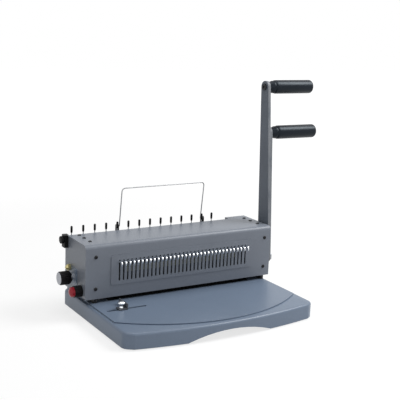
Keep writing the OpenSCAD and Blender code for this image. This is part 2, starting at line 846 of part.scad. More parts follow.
// Black end block that fills the cover's rear corner and carries the rail's left journal
module rail_block() color(plain_black) to_frame() {
    difference() {
        block([-rail_block_out, rail_bay_y, rear_low_z], [end_x1, plate_y1, body_h]);
        rod_x(-rail_block_out - 1, rail_block_out + end_x1 + 2, [rail_y, rail_z], journal_r + run_gap);
    }
}

// Formed sheet that closes the housing behind the rail; its right wall lets the journal through
module rail_trough() color(grey_paint) to_frame() {
    y0 = rail_bay_y - trough_t;
    z0 = rear_low_z - trough_t;
    depth = plate_y1 - y0;
    height = top_in - z0;
    along_x(end_x1, rail_bay_x - end_x1) translate([y0, z0]) {
        square([depth, trough_t]);
        square([trough_t, height]);
    }
    along_x(rail_bay_x - eps, trough_t) difference() {
        translate([y0, z0]) square([depth, height]);
        translate([rail_y, rail_z]) circle(journal_r + slide_gap);
    }
}

module dial_plate() color(grey_paint) to_frame() {
    corner = [knob_y, knob_z] + dial_shift - dial_size / 2;
    along_x(end_x0 - dial_t, dial_t) difference() {
        translate(corner) round_rect(dial_size, 3);
        translate([knob_y, knob_z]) circle(bush_seat_r);
        translate(brass_at) circle(screw_r + seat_gap);
    }
}

// Chrome panel bush behind the knob
module panel_bush() color(chrome_bright) to_frame() {
    head_l = 2.5;
    face = end_x0 - dial_t;
    difference() {
        union() {
            rod_x(face - head_l, head_l, [knob_y, knob_z], bush_r);
            rod_x(face - eps, dial_t + sheet_t + 2, [knob_y, knob_z], bush_seat_r - seat_gap);
        }
        rod_x(-knob_out, knob_out + left_x0, [knob_y, knob_z], knob_shaft_r + run_gap);
    }
}

// Brass cap nut on its stud
module brass_nut() color(brass) to_frame() {
    hex_l = 5;
    dome_r = 0.72 * brass_r;
    face = end_x0 - dial_t;
    translate([face - hex_l, brass_at[0], brass_at[1]]) {
        rotate([0, 90, 0]) cylinder(r = brass_r, h = hex_l, $fn = 6);
        sphere(r = dome_r);
    }
    rod_x(face - eps, dial_t + sheet_t + 3, brass_at, screw_r);
}

module button_barrel() color(plain_black) to_frame() {
    difference() {
        union() {
            rod_x(-barrel_out, barrel_out + end_x0, [button_y, button_z], barrel_r);
            rod_x(end_x0 - eps, sheet_t + 6, [button_y, button_z], barrel_seat_r - seat_gap);
        }
        rod_x(-barrel_out - 1, barrel_out + 1 - barrel_floor, [button_y, button_z], button_r + button_play);
    }
}

module rest_brackets() color(plain_black) to_frame() {
    for (s = [0, 1]) {
        ear_x = s == 0 ? wire_left - wire_r - ear_gap - ear_t : wire_left + wire_w + wire_r + ear_gap;
        foot_x = s == 0 ? ear_x : ear_x + ear_t - bracket_w;
        low = rear_low_z - bracket_h / 2;
        block([foot_x, body_d, low], [foot_x + bracket_w, body_d + bracket_t, rear_low_z]);
        difference() {
            along_x(ear_x, ear_t) {
                translate([body_d, low]) square([bracket_t, wire_z - low]);
                translate([body_d, rear_low_z - 4]) square([wire_pivot_out + ear_r, wire_z - rear_low_z + 4]);
                translate([wire_y, wire_z]) circle(ear_r);
            }
            rod_x(ear_x - 1, ear_t + 2, [wire_y, wire_z], wire_r + run_gap);
        }
    }
}

// Flat lever arm with bores for its shaft and its grip bolt
module lever_arm(x0, hub, hub_r, tip, tip_r) {
    along_x(x0, arm_t) difference() {
        tapered_bar(hub, hub_r, tip, tip_r);
        translate(hub) circle(shaft_r + seat_gap);
        translate(tip) circle(grip_bolt_r + seat_gap);
    }
}

// Turned grip: neck, shoulder, straight barrel and rounded end
module lever_grip(x0, at, l) {
    shoulder = 5;
    round_r = 5;
    difference() {
        translate([x0, at[0], at[1]]) rotate([0, 90, 0]) rotate_extrude() {
            square([neck_r, neck_l + eps]);
            polygon([[0, neck_l], [neck_r, neck_l], [grip_r, neck_l + shoulder], [0, neck_l + shoulder]]);
            translate([0, neck_l + shoulder - eps]) square([grip_r, l - neck_l - shoulder - round_r + eps]);
            translate([0, l - round_r - eps]) square([grip_r - round_r, round_r + eps]);
            intersection() {
                translate([grip_r - round_r, l - round_r]) circle(round_r);
                translate([grip_r - round_r - eps, l - round_r - eps]) square(round_r + 1);
            }
        }
        rod_x(x0 - 1, bolt_in_grip + bolt_end_gap + 1, at, grip_bolt_r + seat_gap);
    }
}

module punch_arm() color(dark_paint) to_frame()
    lever_arm(punch_arm_x, [shaft_y, punch_shaft_z], punch_hub_r, punch_tip, punch_tip_r);

module punch_grip() color(grip_black) to_frame()
    lever_grip(punch_arm_x + arm_t, punch_tip, punch_grip_l);

// Bolt through the arm into the grip, with a socket in its head
module punch_grip_bolt() color(plain_black) to_frame() {
    head_r = grip_bolt_r + 2.5;
    socket_r = 0.8 * grip_bolt_r;
    rod_x(punch_arm_x, arm_t + bolt_in_grip, punch_tip, grip_bolt_r);
    difference() {
        rod_x(punch_arm_x - bolt_head_l, bolt_head_l + eps, punch_tip, head_r);
        translate([punch_arm_x - bolt_head_l - 1, punch_tip[0], punch_tip[1]]) rotate([0, 90, 0])
            cylinder(r = socket_r, h = bolt_head_l, $fn = 6);
    }
}

module punch_shaft() color(steel) to_frame()
    rod_x(shaft_x0, punch_arm_x + arm_t - shaft_x0, [shaft_y, punch_shaft_z], shaft_r);

module punch_pinions() color(steel) to_frame()
    for (x = punch_rack_xs) along_x(x - gear_w / 2, gear_w)
        translate([shaft_y, punch_shaft_z]) pinion_2d(punch_teeth, shaft_r + seat_gap);

module comb_arm() color(dark_paint) to_frame()
    lever_arm(comb_arm_x, [shaft_y, comb_shaft_z], comb_hub_r, comb_tip, comb_tip_r);

module comb_grip() color(grip_black) to_frame()
    lever_grip(comb_arm_x + arm_t, comb_tip, comb_grip_l);

module comb_grip_bolt() color(plain_black) to_frame()
    rod_x(comb_arm_x, arm_t + bolt_in_grip, comb_tip, grip_bolt_r);

module comb_shaft() color(steel) to_frame()
    rod_x(shaft_x0, comb_arm_x + arm_t + hub_nut_l - shaft_x0, [shaft_y, comb_shaft_z], shaft_r);

module comb_pinions() color(steel) to_frame()
    for (x = comb_rack_xs) along_x(x, gear_w)
        translate([shaft_y, comb_shaft_z]) pinion_2d(comb_teeth, shaft_r + seat_gap);

module comb_hub_nut() color(steel) to_frame() {
    difference() {
        translate([comb_arm_x + arm_t, shaft_y, comb_shaft_z]) rotate([0, 90, 0])
            cylinder(r = hub_nut_r, h = hub_nut_l - 1, $fn = 6);
        rod_x(comb_arm_x, arm_t + hub_nut_l + 1, [shaft_y, comb_shaft_z], shaft_r + seat_gap);
    }
}

module punch_beam() color(steel) to_frame() {
    difference() {
        block([beam_x0, beam_y0, beam_z], [beam_x1, beam_y0 + beam_d, beam_z + beam_h]);
        for (x = rod_xs) translate([x, punch_y, beam_z - 1]) cylinder(r = rod_r + run_gap, h = beam_h + 2);
    }
}

module punch_racks() color(steel) to_frame() {
    pitch_y = shaft_y - punch_pitch_r;
    back_y = beam_y0 + 1;
    for (x = punch_rack_xs) along_x(x - gear_w / 2, gear_w)
        rack_2d(pitch_y, back_y, beam_z + beam_h, punch_shaft_z + punch_travel + rack_grip, punch_shaft_z);
}

module punches() color(chrome_bright) to_frame()
    for (x = slot_xs) block([x - punch_w / 2, punch_y - punch_w / 2, punch_tip_in],
                            [x + punch_w / 2, punch_y + punch_w / 2, beam_z]);

// One coil spring as a swept tube, standing on z0
module coil(z0, z1, mean_r, turns) {
    steps = 12;
    sides = 6;
    n = turns * steps;
    rise = (z1 - z0 - spring_wire) / n;
    rings = [for (i = [0:n], j = [0:sides - 1])
        let (a = i * 360 / steps, b = j * 360 / sides, r = mean_r + spring_wire / 2 * cos(b))
        [r * cos(a), r * sin(a), z0 + spring_wire / 2 + i * rise + spring_wire / 2 * sin(b)]];
    walls = [for (i = [0:n - 1], j = [0:sides - 1])
        let (p = i * sides + j, q = i * sides + (j + 1) % sides)
        each [[p, q, q + sides], [p, q + sides, p + sides]]];
    caps = [for (j = [1:sides - 2]) each [[0, j + 1, j], [n * sides, n * sides + j, n * sides + j + 1]]];
    polyhedron(rings, concat(walls, caps), convexity = 8);
}

// Return springs round the guide rods, between guide bar and beam
module beam_springs() color(steel) to_frame() {
    rod_play = 0.4;
    for (x = rod_xs) translate([x, punch_y, 0])
        coil(guide_t, beam_z, rod_r + spring_wire / 2 + rod_play, spring_turns);
}

module hook_bar() color(olive_steel) to_frame()
    block([bar_x0, bar_y0, bar_z0], [bar_x1, bar_y1, bar_z1]);

// Racks behind the hook bar, reaching down to the comb shaft
module hook_racks() color(steel) to_frame() {
    pitch_y = shaft_y - comb_pitch_r;
    for (x = comb_rack_xs) along_x(x, gear_w)
        rack_2d(pitch_y, bar_y1, comb_rack_z0, comb_shaft_z + comb_travel + rack_grip, comb_shaft_z);
}

// Outline of a hook: straight finger, quarter bend and rounded tip
module hook_2d() {
    bend = hook_t + 1.2;
    tip_y = -hook_out;
    low = hook_top - hook_drop + hook_t / 2;
    translate([tip_y + bend, hook_top - hook_t]) square([bar_y0 - tip_y - bend, hook_t]);
    intersection() {
        translate([tip_y + bend, hook_top - bend]) difference() {
            circle(bend);
            circle(bend - hook_t);
        }
        translate([tip_y - 1, hook_top - bend]) square([bend + 1 + eps, bend + 1]);
    }
    translate([tip_y, low]) square([hook_t, hook_top - bend - low + eps]);
    translate([tip_y + hook_t / 2, low]) circle(hook_t / 2);
}

module hooks() color(chrome_bright) to_frame()
    for (x = slot_xs) along_x(x - hook_w / 2, hook_w) hook_2d();

// Fluted knob with a recessed end
module margin_knob() color(plain_black) to_frame() {
    flutes = 20;
    flute_r = 1.2;
    along_x(-knob_out + cap_t, knob_l) translate([knob_y, knob_z]) difference() {
        circle(knob_r);
        circle(knob_shaft_r + seat_gap);
        for (i = [0:flutes - 1]) rotate(i * 360 / flutes)
            translate([knob_r + flute_r / 2, 0]) circle(flute_r, $fn = 16);
    }
}

module knob_cap() color(chrome_bright) to_frame() {
    rim = 1.5;
    rod_x(-knob_out, cap_t, [knob_y, knob_z], knob_r - rim);
}

module knob_shaft() color(steel) to_frame()
    rod_x(-knob_out + cap_t, knob_out - cap_t + cam_x + cam_w, [knob_y, knob_z], knob_shaft_r);

// Snail cam: its radius grows steadily from the side that faces the stop
function cam_point(r, a) = r * [cos(180 - a), sin(180 - a)];
module margin_cam() color(brass) to_frame() {
    step = 10;
    rim = concat([for (a = [0:step:cam_turn]) cam_point(cam_r + cam_rise * a / cam_turn, a)],
                 [for (a = [cam_turn + step:step:360 - step]) cam_point(cam_r, a)]);
    along_x(cam_x, cam_w) translate([knob_y, knob_z]) difference() {
        polygon(rim);
        circle(knob_shaft_r + seat_gap);
    }
}

// Back stop of the throat: blade, web and the arm that follows the cam
module back_stop() color(steel) to_frame() {
    blade_t = 2.5;
    web_t = 3;
    arm_d = 5;
    arm_foot = 8;
    arm_over = 4;
    nose_r = 2;
    web_over = 8;
    arm_y = knob_y - cam_r - slide_gap - nose_r;
    blade_y = punch_y + die_d / 2 + 1;
    web_x0 = slot_first - web_over;
    web_x1 = slot_last + web_over;
    web_z = -slide_gap - web_t;
    block([web_x0, blade_y, table_z + slide_gap], [web_x1, blade_y + blade_t, -slide_gap]);
    block([web_x0, blade_y, web_z], [web_x1, arm_y, -slide_gap]);
    block([cam_x, arm_y - arm_d - arm_foot, web_z], [web_x0 + 1, arm_y, -slide_gap]);
    block([cam_x, arm_y - arm_d, web_z], [cam_x + cam_w, arm_y, knob_z + arm_over]);
    rod_x(cam_x, cam_w, [arm_y, knob_z], nose_r);
}

module push_button() color(signal_red) to_frame() {
    dome = 4;
    dome_r = (button_r * button_r + dome * dome) / (2 * dome);
    end_gap = 0.5;
    tail = barrel_floor + button_travel + end_gap;
    rod_x(-button_out + dome, button_out - dome - tail, [button_y, button_z], button_r);
    intersection() {
        translate([-button_out + dome_r, button_y, button_z]) sphere(r = dome_r);
        rod_x(-button_out - 1, dome + 1 + eps, [button_y, button_z], button_r);
    }
}

module pin_rail() color(plain_black) to_frame() {
    journal_x0 = -rail_block_out - slide_gap - rail_knob_l + 1;
    difference() {
        union() {
            rod_x(rail_x0, rail_end - rail_x0, [rail_y, rail_z], rail_r);
            rod_x(journal_x0, right_x1 - journal_x0, [rail_y, rail_z], journal_r);
        }
        for (x = pin_xs) translate([x, rail_y, rail_z + rail_r - pin_seat])
            cylinder(r = pin_stem_r + seat_gap, h = pin_seat + 1);
    }
}

module rail_knob() color(plain_black) to_frame() {
    x0 = -rail_block_out - slide_gap - rail_knob_l;
    difference() {
        rod_x(x0, rail_knob_l, [rail_y, rail_z], rail_knob_r);
        rod_x(x0 + 1, rail_knob_l, [rail_y, rail_z], journal_r + seat_gap);
    }
}

module rail_pins() color(steel) to_frame()
    for (x = pin_xs) translate([x, rail_y, rail_z + rail_r - pin_seat])
        cylinder(r = pin_stem_r, h = pin_seat + pin_stem_out + pin_cap_l - 2);

module pin_caps() color(plain_black) to_frame() {
    for (x = pin_xs) translate([x, rail_y, rail_z + rail_r + pin_stem_out]) difference() {
        union() {
            cylinder(r = pin_cap_r, h = pin_cap_l - pin_cap_r);
            translate([0, 0, pin_cap_l - pin_cap_r]) sphere(r = pin_cap_r);
        }
        translate([0, 0, -1]) cylinder(r = pin_stem_r + seat_gap, h = pin_cap_l - 1);
    }
}

// Bent wire frame that leans forward from its two pivots
module wire_rest() color(steel) to_frame() {
    top = wire_h - wire_bend_r;
    pivot_l = wire_r + ear_gap + ear_t;
    translate([wire_left, wire_y, wire_z]) rotate([wire_lean, 0, 0]) {
        for (s = [0, 1]) translate([s * wire_w, 0, 0]) {
            sphere(r = wire_r);
            cylinder(r = wire_r, h = top);
            rotate([0, s == 0 ? -90 : 90, 0]) cylinder(r = wire_r, h = pivot_l);
        }
        translate([wire_bend_r, 0, wire_h]) rotate([0, 90, 0])
            cylinder(r = wire_r, h = wire_w - 2 * wire_bend_r);
        for (s = [0, 1])
            translate([s == 0 ? wire_bend_r : wire_w - wire_bend_r, 0, top]) rotate([90, 0, 0])
                rotate(s == 0 ? 90 : 0) rotate_extrude(angle = 90)
                    translate([wire_bend_r, 0]) circle(wire_r);
    }
}

// Paper guide: a shoe under the thumb knob and an upright fence beside it
module side_guide() color(plain_black) to_frame() {
    z0 = table_z + slide_gap;
    fence_x = guide_x + thumb_r + fence_gap;
    difference() {
        union() {
            block([guide_x - shoe_w / 2, guide_y - shoe_w / 2, z0],
                  [fence_x + fence_t, guide_y + shoe_w / 2, z0 + shoe_t]);
            translate([fence_x, guide_y - shoe_w / 2, z0]) cube([fence_t, fence_l, fence_h]);
        }
        translate([guide_x, guide_y, z0 - 1]) cylinder(r = stem_r + run_gap, h = shoe_t + 2);
    }
}

// Clamping plate under the table
module guide_nut() color(steel) to_frame() {
    half = 6;
    z1 = under_z - slide_gap;
    difference() {
        block([guide_x - half, guide_y - half, z1 - nut_h], [guide_x + half, guide_y + half, z1]);
        translate([guide_x, guide_y, z1 - nut_h - 1]) cylinder(r = stem_r + run_gap, h = nut_h + 2);
    }
}

// Mushroom thumb knob on its stem
module guide_knob() color(chrome_bright) to_frame() {
    turn_gap = 0.1;
    thumb_neck = thumb_r - 2.7;
    head_h = 4;
    flare_h = 2;
    edge_r = 2;
    rim_z = thumb_h - head_h;
    flare_z = rim_z - flare_h;
    z0 = table_z + slide_gap + shoe_t + turn_gap;
    stem_z = under_z - slide_gap - nut_h - 1;
    translate([guide_x, guide_y, stem_z]) cylinder(r = stem_r, h = z0 - stem_z + 1);
    translate([guide_x, guide_y, z0]) rotate_extrude() {
        square([thumb_neck, flare_z + eps]);
        polygon([[0, flare_z], [thumb_neck, flare_z], [thumb_r, rim_z], [0, rim_z]]);
        translate([0, rim_z - eps]) square([thumb_r, head_h - edge_r + 2 * eps]);
        translate([0, thumb_h - edge_r]) square([thumb_r - edge_r, edge_r]);
        intersection() {
            translate([thumb_r - edge_r, thumb_h - edge_r]) circle(edge_r);
            translate([thumb_r - edge_r - eps, thumb_h - edge_r - eps]) square(edge_r + 1);
        }
    }
}

// Drawer for the punched chips, with a finger groove across its rear face
module chip_tray() color(dark_paint) to_frame() {
    groove_r = 5;
    groove_l = 80;
    groove_in = 2;
    groove_at = [base_y1 + groove_r - groove_in, tray_z0 + tray_h / 2];
    x1 = tray_x0 + tray_w;
    difference() {
        block([tray_x0, tray_y, tray_z0], [x1, base_y1, tray_z1]);
        block([tray_x0 + tray_wall, tray_y + tray_wall, tray_z0 + tray_wall],
              [x1 - tray_wall, base_y1 - groove_in - tray_wall, tray_z1 + 1]);
        rod_x(slot_mid - groove_l / 2, groove_l, groove_at, groove_r);
    }
}

base_shell();
table_plate();
feet();
tray_runners();
left_side_plate();
right_side_plate();
top_cover();
comb_plate();
left_end_cover();
right_end_cover();
rear_cover();
front_screws();
top_screws();
die_plate();
punch_guide();
tie_bar();
guide_rods();
carriage_guides();
shaft_bushes();
rail_block();
rail_trough();
dial_plate();
panel_bush();
brass_nut();
button_barrel();
rest_brackets();
punch_arm();
punch_grip();
punch_grip_bolt();
punch_shaft();
punch_pinions();
comb_arm();
comb_grip();
comb_grip_bolt();
comb_shaft();
comb_pinions();
comb_hub_nut();
punch_beam();
punch_racks();
punches();
beam_springs();
hook_bar();
hook_racks();
hooks();
margin_knob();
knob_cap();
knob_shaft();
margin_cam();
back_stop();
push_button();
pin_rail();
rail_knob();
rail_pins();
pin_caps();
wire_rest();
side_guide();
guide_nut();
guide_knob();
chip_tray();
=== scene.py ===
# %% [markdown]
# # Dressing a comb binding machine
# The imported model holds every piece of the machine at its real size, in metres. This lesson adds
# the looks around it: a camera, soft light, paint and metal with texture, and the small pieces
# that give scale. The model comes first, because everything else takes its place from it.

# %% Load the machine
import json
import math

import bmesh
import bpy
from mathutils import Matrix, Vector

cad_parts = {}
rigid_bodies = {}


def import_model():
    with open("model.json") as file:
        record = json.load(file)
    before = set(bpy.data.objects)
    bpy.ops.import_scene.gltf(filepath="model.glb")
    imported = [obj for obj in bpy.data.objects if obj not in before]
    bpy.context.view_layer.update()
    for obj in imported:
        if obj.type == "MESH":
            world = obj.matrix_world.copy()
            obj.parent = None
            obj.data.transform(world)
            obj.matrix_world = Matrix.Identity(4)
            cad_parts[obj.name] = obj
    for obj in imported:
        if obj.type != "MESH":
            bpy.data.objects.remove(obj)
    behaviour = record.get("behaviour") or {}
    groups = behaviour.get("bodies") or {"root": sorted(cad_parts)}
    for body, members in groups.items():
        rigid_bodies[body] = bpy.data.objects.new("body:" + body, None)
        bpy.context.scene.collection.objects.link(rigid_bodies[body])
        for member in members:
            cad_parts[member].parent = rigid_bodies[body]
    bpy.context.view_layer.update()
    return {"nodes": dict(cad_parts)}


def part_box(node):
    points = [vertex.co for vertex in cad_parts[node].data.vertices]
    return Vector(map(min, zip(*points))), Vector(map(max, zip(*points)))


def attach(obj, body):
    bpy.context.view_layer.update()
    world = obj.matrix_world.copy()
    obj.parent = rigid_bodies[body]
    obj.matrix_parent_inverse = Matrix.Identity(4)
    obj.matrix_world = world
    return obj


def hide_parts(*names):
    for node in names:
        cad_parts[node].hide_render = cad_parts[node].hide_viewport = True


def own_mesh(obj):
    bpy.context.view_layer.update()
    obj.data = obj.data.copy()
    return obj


for leftover in list(bpy.data.objects):
    bpy.data.objects.remove(leftover)
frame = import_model()
scene = bpy.context.scene
scene.view_settings.view_transform = "Standard"
MM = 0.001

# %% [markdown]
# ## Camera
# The camera stands where the photographer stood, a little to the left and above the machine.
# Its place and angles were found by matching the corners of the body and of the base. A long
# lens keeps the upright lines nearly parallel, and a small roll tilts the picture as the photo does.

# %% Camera
CAMERA_AT = (-0.880232, -1.368672, 0.56759)
CAMERA_YAW = math.radians(31.515)
CAMERA_PITCH = math.radians(12.212)
CAMERA_ROLL = math.radians(2.411)
CAMERA_LENS = 78.4755

camera_data = bpy.data.cameras.new("camera")
camera_data.lens = CAMERA_LENS
camera = bpy.data.objects.new("camera", camera_data)
camera.matrix_world = (
    Matrix.Translation(CAMERA_AT)
    @ Matrix.Rotation(-CAMERA_YAW, 4, "Z")
    @ Matrix.Rotation(math.pi / 2 - CAMERA_PITCH, 4, "X")
    @ Matrix.Rotation(CAMERA_ROLL, 4, "Z")
)
scene.collection.objects.link(camera)
scene.camera = camera
print("camera at", [round(v, 3) for v in CAMERA_AT], "lens", CAMERA_LENS)

# %% [markdown]
# ## Sums on sockets
# A finish is a sum of patterns: broad patches, fine grain, scratches. Wiring that by hand hides
# the sum among dozens of nodes, so one small class wraps a socket and lets Python do the sums.
# The same class builds the Geometry Nodes trees further down.


# %% A socket that can be added and multiplied
class Socket:
    """One output of a node. Sums on it add Math nodes, and node() adds any other node."""

    def __init__(self, tree, output):
        self.tree = tree
        self.output = output

    def node(self, kind, settings, sockets, out=0):
        """Adds a node of this kind: its settings first, then the values or links of its sockets."""
        made = self.tree.nodes.new(kind)
        for name, value in settings.items():
            setattr(made, name, value)
        for key, value in sockets.items():
            for one in value if isinstance(value, list) else [value]:
                if isinstance(one, Socket):
                    self.tree.links.new(one.output, made.inputs[key])
                else:
                    made.inputs[key].default_value = one
        return Socket(self.tree, made.outputs[out])

    def maths(self, operation, first, second):
        return self.node("ShaderNodeMath", {"operation": operation}, {0: first, 1: second})

    def __add__(self, other):
        return self.maths("ADD", self, other)

    def __radd__(self, other):
        return self.maths("ADD", other, self)

    def __sub__(self, other):
        return self.maths("SUBTRACT", self, other)

    def __rsub__(self, other):
        return self.maths("SUBTRACT", other, self)

    def __mul__(self, other):
        return self.maths("MULTIPLY", self, other)

    def __rmul__(self, other):
        return self.maths("MULTIPLY", other, self)

    def __gt__(self, other):
        return self.maths("GREATER_THAN", self, other)


def linear(red, green, blue, gain=1.0):
    """A colour picked on screen, 0 to 255, as the shader's linear values."""
    return tuple(gain * ((c / 255 + 0.055) / 1.055) ** 2.4 for c in (red, green, blue)) + (1.0,)


def start(name):
    """A new material, and the Object coordinates that its patterns are laid on."""
    material = bpy.data.materials.new(name)
    material.use_nodes = True
    coordinates = material.node_tree.nodes.new("ShaderNodeTexCoord")
    return material, Socket(material.node_tree, coordinates.outputs["Object"])


def noise(where, size, detail):
    """Noise from 0 to 1 whose blobs are about this many metres across."""
    return where.node("ShaderNodeTexNoise", {}, {"Vector": where, "Scale": 1 / size, "Detail": detail})


def stretched(where, scale):
    """The same coordinates drawn out, so that noise on them turns into streaks."""
    return where.node("ShaderNodeMapping", {}, {"Vector": where, "Scale": scale})


def fade(value, low, high):
    """0 below low, 1 above high and a soft step between."""
    return value.node(
        "ShaderNodeMapRange",
        {"interpolation_type": "SMOOTHSTEP"},
        {"Value": value, "From Min": low, "From Max": high},
    )


def mix(factor, first, second):
    """One colour fading into another."""
    return factor.node("ShaderNodeMix", {"data_type": "RGBA"}, {0: factor, 6: first, 7: second}, out=2)


def bump(height, depth):
    """A surface that rises with height by this many metres."""
    return height.node("ShaderNodeBump", {}, {"Strength": 1.0, "Distance": depth, "Height": height})


def shade(material, links, settings):
    """Feeds the surface shader: what varies is linked, and plain numbers are set on it."""
    shader = material.node_tree.nodes["Principled BSDF"]
    for name, socket in links.items():
        material.node_tree.links.new(socket.output, shader.inputs[name])
    for name, value in settings.items():
        shader.inputs[name].default_value = value
    return material


print("one class for sums, and helpers:", noise.__name__, fade.__name__, mix.__name__, bump.__name__)

# %% [markdown]
# ## Studio
# The photo has a plain white ground and soft light from above, so that the top of the body is
# about twice as bright as its front. A white room would light all sides alike and wash that out.
# So floor and world are white only for rays that come from the camera or from a reflection. The
# world lights the machine with a quarter of that, and the floor keeps the machine's shadow.

# %% Floor and world
FLOOR_SIZE = 12.0
FLOOR_GREY = (236, 236, 236)
FLOOR_ROUGHNESS = 0.9
FLOOR_GLEAM = 0.1
FLOOR_GLOW = 0.68
GLOW_STRENGTH = 1.09
GLOW_FADE = (0.5, 1.8)
WORLD_LIGHT = 0.26
WHITE = (1, 1, 1, 1)


def seen_rays(tree):
    """1 for rays from the camera, from a reflection or through glass, and 0 for the light's own."""
    path = tree.nodes.new("ShaderNodeLightPath")
    rays = ("Is Camera Ray", "Is Glossy Ray", "Is Transmission Ray")
    camera_ray, glossy_ray, through_ray = (Socket(tree, path.outputs[name]) for name in rays)
    seen_or_mirrored = camera_ray.maths("MAXIMUM", camera_ray, glossy_ray)
    return camera_ray.maths("MAXIMUM", seen_or_mirrored, through_ray)


world = bpy.data.worlds.new("studio")
scene.world = world
world.use_nodes = True
sky = world.node_tree.nodes["Background"]
sky.inputs["Color"].default_value = WHITE
sky_strength = WORLD_LIGHT + (1 - WORLD_LIGHT) * seen_rays(world.node_tree)
world.node_tree.links.new(sky_strength.output, sky.inputs["Strength"])

floor_paper, floor_where = start("floor_paper")
paper_tree = floor_paper.node_tree
paper_settings = {
    "Base Color": linear(*FLOOR_GREY),
    "Roughness": FLOOR_ROUGHNESS,
    "Specular IOR Level": FLOOR_GLEAM,
}
shade(floor_paper, {}, paper_settings)
paper_glow = floor_where.node("ShaderNodeEmission", {}, {"Color": WHITE, "Strength": GLOW_STRENGTH})
paper_face = Socket(paper_tree, paper_tree.nodes["Principled BSDF"].outputs["BSDF"])
paper_far = floor_where.node(
    "ShaderNodeVectorMath", {"operation": "LENGTH"}, {0: floor_where}, out="Value"
)
paper_share = FLOOR_GLOW + (1 - FLOOR_GLOW) * fade(paper_far, *GLOW_FADE)
paper_factor = paper_share * seen_rays(paper_tree)
paper_mix = floor_where.node(
    "ShaderNodeMixShader", {}, {0: paper_factor, 1: paper_face, 2: paper_glow}
)
paper_tree.links.new(paper_mix.output, paper_tree.nodes["Material Output"].inputs["Surface"])

floor_mesh = bpy.data.meshes.new("floor")
reach = FLOOR_SIZE / 2
floor_corners = [(-reach, -reach, 0), (reach, -reach, 0), (reach, reach, 0), (-reach, reach, 0)]
floor_mesh.from_pydata(floor_corners, [], [(0, 1, 2, 3)])
floor_mesh.materials.append(floor_paper)
floor = bpy.data.objects.new("floor", floor_mesh)
scene.collection.objects.link(floor)
print("floor", FLOOR_SIZE, "m wide, world light", WORLD_LIGHT)

# %% [markdown]
# ## Lamps
# Large soft boxes above and beside the table give the light broad, soft edges. Point lamps would
# be simpler, but throw hard shadows. The strongest box stands at the right, because the photo
# shows the narrow right edges of the lever arms brighter than their faces.


# %% Lamps
def lamp(name, place, aim, size, power):
    """A square soft box that points at a spot on the machine."""
    data = bpy.data.lights.new(name, "AREA")
    data.size = size
    data.energy = power
    made = bpy.data.objects.new(name, data)
    made.location = place
    made.rotation_euler = (Vector(aim) - Vector(place)).to_track_quat("-Z", "Y").to_euler()
    scene.collection.objects.link(made)


SOFT_BOXES = {
    "top_box": {"place": (-0.2, 0.1, 1.75), "aim": (0, 0.03, 0.1), "size": 1.0, "power": 9},
    "front_box": {"place": (-0.4, -2.0, 1.0), "aim": (0, 0, 0.15), "size": 1.4, "power": 5},
    "left_box": {"place": (-2.0, -0.3, 0.9), "aim": (-0.2, 0.05, 0.1), "size": 1.2, "power": 1},
    "right_box": {"place": (1.15, -0.42, 1.55), "aim": (0.1, 0.05, 0.3), "size": 0.9, "power": 28},
}
for box_name, box_settings in SOFT_BOXES.items():
    lamp(box_name, **box_settings)
print("soft boxes:", list(SOFT_BOXES))

# %% [markdown]
# ## Painted steel
# The body wears a grey stove enamel with a fine pebbled texture; base and arms are smoother.
# An image of paint would blur close up, so the texture is worked out: broad patches where the
# coat is thicker, a fine grain that also drives the bump, and scuffs drawn out by passing hands.

# %% Paint
PATCH_SIZE = 70 * MM
SPECK_FADE = (0.35, 0.75)
SCUFF_SIZE = 5 * MM
SCUFF_DRAW = (0.25, 1, 2)
SCUFF_FADE = (0.66, 0.8)
SCUFF_SHARE = 0.22
THIN_COAT = 0.86
THICK_COAT = 1.14
SCUFFED_COAT = 1.6
CLEAR_COAT_ROUGHNESS = 0.18
PAINT_GLEAM = 0.35


def painted(name, colour, grain, relief, roughness, coat):
    """Stove enamel with a grain of this size and relief."""
    material, where = start(name)
    patches = noise(where, PATCH_SIZE, 3)
    pebbles = noise(where, grain, 2)
    specks = fade(noise(where, grain / 3, 1), *SPECK_FADE)
    dark = linear(*colour, gain=THIN_COAT)
    light = linear(*colour, gain=THICK_COAT)
    thickness = 0.5 * patches + 0.3 * pebbles + 0.2 * specks
    scuffs = fade(noise(stretched(where, SCUFF_DRAW), SCUFF_SIZE, 4), *SCUFF_FADE)
    scuffed = linear(*colour, gain=SCUFFED_COAT)
    worn = mix(SCUFF_SHARE * scuffs, mix(thickness, dark, light), scuffed)
    dull = roughness + 0.14 * pebbles + 0.1 * scuffs
    links = {"Base Color": worn, "Roughness": dull, "Normal": bump(pebbles, relief)}
    settings = {
        "Coat Weight": coat,
        "Coat Roughness": CLEAR_COAT_ROUGHNESS,
        "Specular IOR Level": PAINT_GLEAM,
    }
    return shade(material, links, settings)


finishes = {}
finishes["grey_paint"] = painted(
    "grey_paint", (118, 124, 134), grain=1.1 * MM, relief=0.07 * MM, roughness=0.30, coat=0.0
)
finishes["base_paint"] = painted(
    "base_paint", (106, 120, 139), grain=2.6 * MM, relief=0.04 * MM, roughness=0.30, coat=0.12
)
finishes["tray_paint"] = painted(
    "tray_paint", (84, 87, 93), grain=1.6 * MM, relief=0.06 * MM, roughness=0.42, coat=0.0
)
print("paints:", list(finishes))

# %% [markdown]
# ## Slate paint on the lever arms, lighter at the edges
# The flat sides of the arms keep their slate paint, and the narrow edges are painted lighter:
# partly wear from years of passing hands, partly painted light for the light the edges catch.
# The mask needs no drawing: on an edge, the surface looks along the plate, so the x part of its
# normal is small. Patches break the lighter band up, as hands miss some spots.

# %% Arm paint
EDGE_LOOK = (0.25, 0.7)
EDGE_PATCH_FADE = (0.2, 0.5)
ARM_SLATE = (94, 101, 111)
ARM_EDGE_WORN_AND_LIT = (124, 127, 132)
ARM_PATCH = 30 * MM
ARM_STREAK = 2 * MM
ARM_RELIEF = 0.06 * MM
ARM_DARK = 0.8
ARM_LIGHT = 1.2
WORN_AND_LIT_GAIN = 1.1
ALONG_Z = (1, 1, 0.05)

